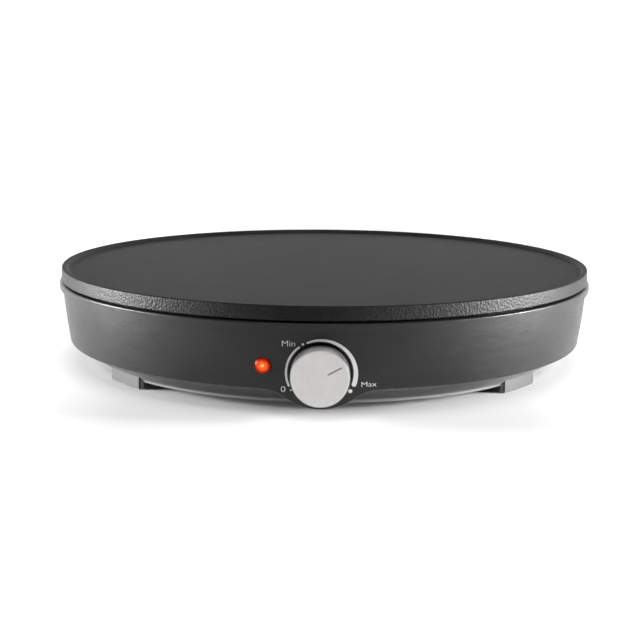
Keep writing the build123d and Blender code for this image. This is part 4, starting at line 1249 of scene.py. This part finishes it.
    def laid(self, name: str, mesh: bpy.types.Mesh) -> None:
        """Lays a flat mesh on the wall.

        Args:
            name: The piece's name.
            mesh: The flat mesh, in front of the wall.
        """
        flat = Shapes.linked(f"{name}_flat", mesh)
        tree = GeometryGraph(name, {
            "Wall": self.wall,
            "Proud": self.proud * MM,
            "Flat": flat,
        })
        shape = tree.node("GeometryNodeObjectInfo", {"Object": tree.given("Flat")}).outputs["Geometry"]
        tree.finish(self.cast(tree, shape), self.ink)
        piece = tree.run(name)
        bpy.data.objects.remove(flat)
        self.hand_over(piece)

    def hand_over(self, piece: bpy.types.Object) -> None:
        """Turns the print's faces outwards and attaches it to the cooker's body.

        Args:
            piece: The finished print.
        """
        mesh = piece.data
        if sum(p.normal.y * p.area for p in mesh.polygons) > 0:
            mesh.flip_normals()
        carry(piece, Body.COOKER)


@dataclass
class Housing:
    """The moulded housing with its dial."""

    plastic: LippedMoulding = LippedMoulding("housing_plastic", (0.007, 0.007, 0.0073), rough=0.34,
                                             specular=0.33, edge=0.5)
    dial: DialPrint = field(default_factory=DialPrint)

    def build(self) -> None:
        """Dresses the housing and prints the dial on it."""
        dress(self.plastic, "housing")
        self.dial.build()


@dataclass
class Tray:
    """Base tray with its screws and pads; sizes in millimetres."""

    plastic: CovedMoulding = CovedMoulding("tray_plastic", (0.024, 0.024, 0.025), rough=0.5, grain=0.6,
                                           grain_depth=0.04)
    screws: Metal = ZINC
    rubber: Rubber = Rubber("pad_rubber")
    pad_first: float = -50.0  # degrees from the front
    pad_lean: float = 10.0  # degrees that every second pad is past its quarter
    pad_corners: tuple[str, ...] = ("front_left", "front_right", "back_right", "back_left")
    pad_at: float = 127.9  # a pad's middle, from the cooker's axis
    pad_size: tuple[float, float, float] = (20.0, 11.0, 2.2)
    pad_round: float = 3.0  # radius of a pad's corners
    pad_steps: int = 8  # runs in each corner
    pad_sections: tuple[tuple[float, float, float], ...] = (
        # share of the pad's height, millimetres over that, how far the outline grows
        (0.0, 0.0, -0.35), (0.0, 0.12, -0.1), (0.0, 0.35, 0.0), (1.0, -0.3, 0.0), (1.0, 0.0, -0.3),
    )
    rib_pitch: float = 1.8
    rib_width: float = 1.0
    rib_depth: float = 0.5
    rib_margin: float = 2.0  # left plain at each end
    rib_over: float = 2.0  # how much longer the grooves' cutters are than the pad is wide

    def build(self) -> None:
        """Dresses the tray and makes its pads."""
        dress(self.plastic, "base_tray")
        dress(self.screws, "tray_screws")
        self.pads()

    def pads(self) -> None:
        """Four pads with cross ribs underneath, in place of the plain ones."""
        pad = self.pad()
        tree = GeometryGraph("pad_ring", {
            "Pad": pad,
            "Count": len(self.pad_corners),
            "Reach": self.pad_at * MM,
            "First angle": math.radians(self.pad_first),
            "Lean": math.radians(self.pad_lean),
        })
        line = {"Count": tree.given("Count"), "Offset": (0, 0, 0)}
        points = tree.node("GeometryNodeMeshLine", line).outputs[0]
        index = tree.node("GeometryNodeInputIndex").outputs[0]
        lean = tree.times(tree.calc("MODULO", index, 2), tree.given("Lean"))
        step = tree.times(index, math.radians(90))
        angle = tree.plus(tree.plus(tree.given("First angle"), step), lean)
        x = tree.times(tree.calc("SINE", angle), tree.given("Reach"))
        y = tree.times(tree.times(tree.calc("COSINE", angle), tree.given("Reach")), -1.0)
        spot = tree.node("ShaderNodeCombineXYZ", {"X": x, "Y": y}).outputs[0]
        spread = tree.node("GeometryNodeSetPosition", {"Geometry": points, "Position": spot}).outputs[0]
        shape = tree.node("GeometryNodeObjectInfo", {"Object": tree.given("Pad")}).outputs["Geometry"]
        turn = tree.node("ShaderNodeCombineXYZ", {"Z": angle}).outputs[0]
        placed = tree.node("GeometryNodeInstanceOnPoints", {"Points": spread, "Instance": shape,
                                                            "Rotation": turn}).outputs[0]
        tree.finish(placed, self.rubber)
        piece = tree.run("foot_pads_ribbed")
        bpy.data.objects.remove(pad)
        Shapes.soften(Shapes.closed(piece))
        carry(piece, Body.COOKER, instead_of=[f"foot_pad_{name}" for name in self.pad_corners])

    def pad(self) -> bpy.types.Object:
        """One pad at the origin: a rounded block whose underside is ribbed across.

        Returns:
            The pad, whose underside is at height 0.
        """
        long, wide, high = self.pad_size
        outline = rounded_outline(long, wide, self.pad_round, self.pad_steps)
        bm = bmesh.new()
        rows = []
        for share, over, grow in self.pad_sections:
            scale_x, scale_y, z = (long + 2 * grow) / long, (wide + 2 * grow) / wide, share * high + over
            rows.append([bm.verts.new((x * scale_x * MM, y * scale_y * MM, z * MM)) for x, y in outline])
        for low, top in zip(rows, rows[1:]):
            for i in range(len(low)):
                j = (i + 1) % len(low)
                bm.faces.new((low[i], low[j], top[j], top[i]))
        bm.faces.new(rows[0])
        bm.faces.new(rows[-1])
        block = Shapes.solid("pad_block", bm)
        grooves = bmesh.new()
        count = int((long - 2 * self.rib_margin) / self.rib_pitch)
        for i in range(count + 1):
            x = (i - count / 2) * self.rib_pitch
            size = Matrix.Diagonal(((self.rib_pitch - self.rib_width) * MM, (wide + self.rib_over) * MM,
                                    2 * self.rib_depth * MM, 1))
            bmesh.ops.create_cube(grooves, size=1.0, matrix=Matrix.Translation((x * MM, 0, 0)) @ size)
        cutter = Shapes.solid("pad_grooves", grooves)
        cut = block.modifiers.new("grooves", "BOOLEAN")
        cut.object = cutter
        cut.operation = "DIFFERENCE"
        cut.solver = "EXACT"
        pad = Shapes.linked("pad", Shapes.evaluated(block))
        bpy.data.objects.remove(cutter)
        return pad


def rounded_outline(long: float, wide: float, radius: float, steps: int) -> list[tuple[float, float]]:
    """Corner points of a rounded rectangle, anticlockwise, in millimetres.

    Args:
        long: Length along X.
        wide: Length along Y.
        radius: Radius of the corners.
        steps: Runs in each corner.

    Returns:
        The outline's points.
    """
    points = []
    for turn, (sx, sy) in enumerate(((1, -1), (1, 1), (-1, 1), (-1, -1))):
        cx, cy = sx * (long / 2 - radius), sy * (wide / 2 - radius)
        for i in range(steps + 1):
            a = math.radians(-90 + 90 * turn + 90 * i / steps)
            points.append((cx + radius * math.cos(a), cy + radius * math.sin(a)))
    return points


@dataclass
class Knob:
    """The rotary knob, with a dark line in its pointer groove; sizes in millimetres."""

    face_y: float = -163.5
    axis_z: float = 22.5
    inner: float = 4.3  # ends of the paint, from the knob's axis
    outer: float = 11.5
    width: float = 0.66
    sunk: float = 0.12  # how far behind the face the paint's middle lies
    thick: float = 0.06
    rounded: float = 0.02
    angle: float = 28.0  # degrees of the pointer over level, to the right
    silver: Lacquer = Lacquer("knob_lacquer")
    black: Moulding = Moulding("knob_core_plastic", (0.03, 0.03, 0.03), rough=0.5)
    spring: Metal = SPRING_STEEL
    shaft: Metal = Metal("shaft_steel", (0.62, 0.6, 0.57), 0.26, (1, 6, 1))
    paint: Ink = Ink("pointer_paint", (0.3, 0.295, 0.285))

    def build(self) -> None:
        """Dresses the knob and fills its groove."""
        dress(self.silver, "knob_shell")
        dress(self.black, "knob_core")
        dress(self.spring, "knob_spring")
        dress(self.shaft, "thermostat_shaft")
        self.pointer()

    def pointer(self) -> None:
        """A thin bar of paint in the groove."""
        bm = bmesh.new()
        middle = (self.inner + self.outer) / 2
        size = Matrix.Diagonal(((self.outer - self.inner) * MM, self.thick * MM, self.width * MM, 1))
        bmesh.ops.create_cube(bm, size=1.0, matrix=Matrix.Translation((middle * MM, 0, 0)) @ size)
        bmesh.ops.bevel(bm, geom=bm.edges[:], offset=self.rounded * MM, segments=2, affect="EDGES")
        bm.transform(Matrix.Translation((0, (self.face_y + self.sunk) * MM, self.axis_z * MM))
                     @ Matrix.Rotation(-math.radians(self.angle), 4, "Y"))
        piece = Shapes.solid("knob_pointer_paint", bm)
        Shapes.soften(piece)
        carry(piece, Body.KNOB, self.paint)


@dataclass
class Thermostat:
    """Switch, bracket, bulb and capillary."""

    switch: Fired = Fired("switch_body", (0.7, 0.67, 0.6))
    bracket: Metal = Metal("galvanised_bracket", (0.6, 0.6, 0.6), 0.36, (1, 1, 1), (0.42, 0.43, 0.45), 0.6)
    copper: Metal = Metal("drawn_copper", (0.72, 0.45, 0.32), 0.3, (6, 1, 1), (0.3, 0.16, 0.1), 0.6)
    nickel: Metal = NICKEL
    screws: Metal = ZINC

    def build(self) -> None:
        """Dresses the thermostat's nodes."""
        dress(self.switch, "thermostat_body")
        dress(self.bracket, "thermostat_bracket")
        dress(self.screws, "thermostat_screws")
        dress(self.nickel, "thermostat_terminals")
        dress(self.copper, "thermostat_bulb", "capillary_tube")


@dataclass
class Lamp:
    """Indicator lamp to the left of the knob; sizes in millimetres."""

    crown_radius: float = 154.2  # the lens's crown, from the cooker's axis
    turn: float = -10.48  # degrees round from the front, towards the right
    height: float = 25.7
    glass: BulbGlass = BulbGlass("lamp_glass")
    ring: Metal = SPRING_STEEL

    def build(self) -> None:
        """Dresses the lamp's nodes."""
        a = math.radians(self.turn)
        out = self.crown_radius * MM
        lens = SignalLens("signal_lens", (out * math.sin(a), -out * math.cos(a), self.height * MM))
        dress(lens, "lamp_lens")
        dress(self.glass, "lamp_glass")
        dress(self.ring, "lamp_ring")


@dataclass
class Supply:
    """Gland, terminal block, fuse, earth and the leads."""

    nylon: Moulding = Moulding("gland_nylon", (0.03, 0.03, 0.03), rough=0.38, grain=0.8, grain_depth=0.008)
    block: Moulding = Moulding("block_nylon", (0.82, 0.81, 0.77), rough=0.4, grain=0.8, grain_depth=0.008,
                               rubbed=0.0)
    brass: Metal = Metal("turned_brass", (0.78, 0.63, 0.35), 0.28, (1, 6, 1), (0.35, 0.25, 0.12), 0.4)
    case: Metal = Metal("fuse_case", (0.7, 0.7, 0.72), 0.26, (1, 8, 1))
    sleeve: Braid = Braid("glass_braid")
    nickel: Metal = NICKEL
    screws: Metal = ZINC
    leads: dict[str, Insulation] = field(default_factory=lambda: {
        "lead_live": Insulation("brown_silicone", (0.2, 0.09, 0.04)),
        "lead_neutral": Insulation("blue_silicone", (0.05, 0.12, 0.45)),
        "lead_earth": Insulation("striped_silicone", (0.12, 0.4, 0.06), (0.75, 0.62, 0.04)),
        "lead_heater": Insulation("black_silicone", (0.03, 0.03, 0.03)),
        "lead_lamp_live": Insulation("grey_silicone", (0.42, 0.42, 0.43)),
        "lead_lamp_neutral": Insulation("grey_silicone", (0.42, 0.42, 0.43)),
    })

    def build(self) -> None:
        """Dresses the supply side."""
        dress(self.nylon, "cord_gland", "gland_nut")
        dress(self.block, "terminal_block")
        dress(self.brass, "terminal_barrels")
        dress(self.screws, "terminal_screws", "block_screw", "earth_screw")
        dress(self.case, "thermal_fuse")
        dress(self.sleeve, "fuse_sleeve")
        dress(self.nickel, "earth_lug")
        for node, insulation in self.leads.items():
            dress(insulation, node)


# ------------------------------------------------------------------ studio
@dataclass(frozen=True)
class SoftBox:
    """A soft box that points at the cooker, with its sizes in metres."""

    name: str
    azimuth: float  # degrees round from the front, towards the right
    distance: float  # from the cooker's axis
    height: float
    wide: float
    tall: float
    power: float  # watts
    aim: float = 0.03  # height that it points at

    def build(self) -> None:
        """Makes the lamp and turns it to the cooker."""
        light = bpy.data.lights.new(self.name, "AREA")
        light.shape = "RECTANGLE"
        light.size, light.size_y, light.energy = self.wide, self.tall, self.power
        lamp = Shapes.linked(self.name, light)
        a = math.radians(self.azimuth)
        spot = Vector((self.distance * math.sin(a), -self.distance * math.cos(a), self.height))
        towards = Vector((0, 0, self.aim)) - spot
        lamp.matrix_world = Matrix.Translation(spot) @ towards.to_track_quat("-Z", "Y").to_matrix().to_4x4()


@dataclass
class Studio:
    """Seamless floor, soft boxes at both sides and the camera; places in metres."""

    half_width: float = 4.0
    front: float = -4.0
    back: float = 1.6
    sweep: float = 1.2  # radius of the curve between floor and backdrop
    sweep_step: int = 5  # degrees
    top: float = 3.5
    paper: Backing = Backing("white_paper")
    fill: float = 0.03  # strength of the world's light
    camera_at: tuple[float, float, float] = (0.00726, -0.715, 0.1594)
    camera_to: tuple[float, float, float] = (-0.00241, 0.0, 0.01895)
    roll: float = 0.41  # degrees
    lens: float = 67.275  # millimetres, as the sensor
    sensor: float = 36.0
    clip: Range = (0.01, 50.0)
    boxes: tuple[SoftBox, ...] = (
        SoftBox("strip_left", -88.0, 1.0, 0.15, 0.3, 0.3, 30.5),
        SoftBox("strip_right", 82.0, 1.0, 0.15, 0.35, 0.3, 39.0),
        SoftBox("softbox_front", 0.0, 0.7, 1.3, 1.2, 0.7, 7.5),
    )

    def build(self) -> None:
        """Sets the stage."""
        self.cyclorama()
        self.world()
        for box in self.boxes:
            box.build()
        self.camera()

    def cyclorama(self) -> None:
        """Floor that curves up into the backdrop."""
        profile = [(self.front, 0.0), (self.back - self.sweep, 0.0)]
        profile += [(self.back - self.sweep + self.sweep * math.sin(math.radians(a)),
                     self.sweep - self.sweep * math.cos(math.radians(a)))
                    for a in range(self.sweep_step, 91, self.sweep_step)]
        profile.append((self.back, self.top))
        bm = bmesh.new()
        rows = [[bm.verts.new((x, y, z)) for x in (-self.half_width, self.half_width)] for y, z in profile]
        for low, high in zip(rows, rows[1:]):
            bm.faces.new((low[0], low[1], high[1], high[0]))
        mesh = Shapes.mesh("floor", bm)
        mesh.shade_smooth()
        mesh.materials.append(self.paper.material())
        Shapes.linked("floor", mesh)

    def world(self) -> None:
        """A faint even fill behind the soft boxes, white where the camera sees past the paper."""
        world = bpy.data.worlds.new("studio")
        bpy.context.scene.world = world
        world.use_nodes = True
        graph = Graph(world.node_tree)
        graph.tree.nodes.clear()
        path = graph.node("ShaderNodeLightPath")
        level = graph.calc("MAXIMUM", path.outputs["Is Camera Ray"], self.fill)
        light = graph.node("ShaderNodeBackground", {"Color": (1, 1, 1, 1), "Strength": level})
        graph.node("ShaderNodeOutputWorld", {"Surface": light.outputs[0]})

    def camera(self) -> None:
        """A long lens a little above the rim, rolled by half a degree."""
        data = bpy.data.cameras.new("camera")
        data.lens, data.sensor_width, data.sensor_fit = self.lens, self.sensor, "HORIZONTAL"
        data.clip_start, data.clip_end = self.clip
        camera = Shapes.linked("camera", data)
        at, to = Vector(self.camera_at), Vector(self.camera_to)
        level = (to - at).to_track_quat("-Z", "Y").to_matrix().to_4x4()
        rolled = Matrix.Rotation(math.radians(self.roll), 4, "Z")
        camera.matrix_world = Matrix.Translation(at) @ level @ rolled
        bpy.context.scene.camera = camera


def main() -> None:
    """Builds the looks in order."""
    logging.basicConfig(level=logging.INFO, format="%(name)s: %(message)s")
    bpy.context.scene.view_settings.view_transform = "Standard"
    for part in (Studio(), Griddle(), Housing(), Tray(), Knob(), Thermostat(), Lamp(), Supply()):
        part.build()
        log.info("%s done", type(part).__name__)


if __name__ == "__main__":
    main()
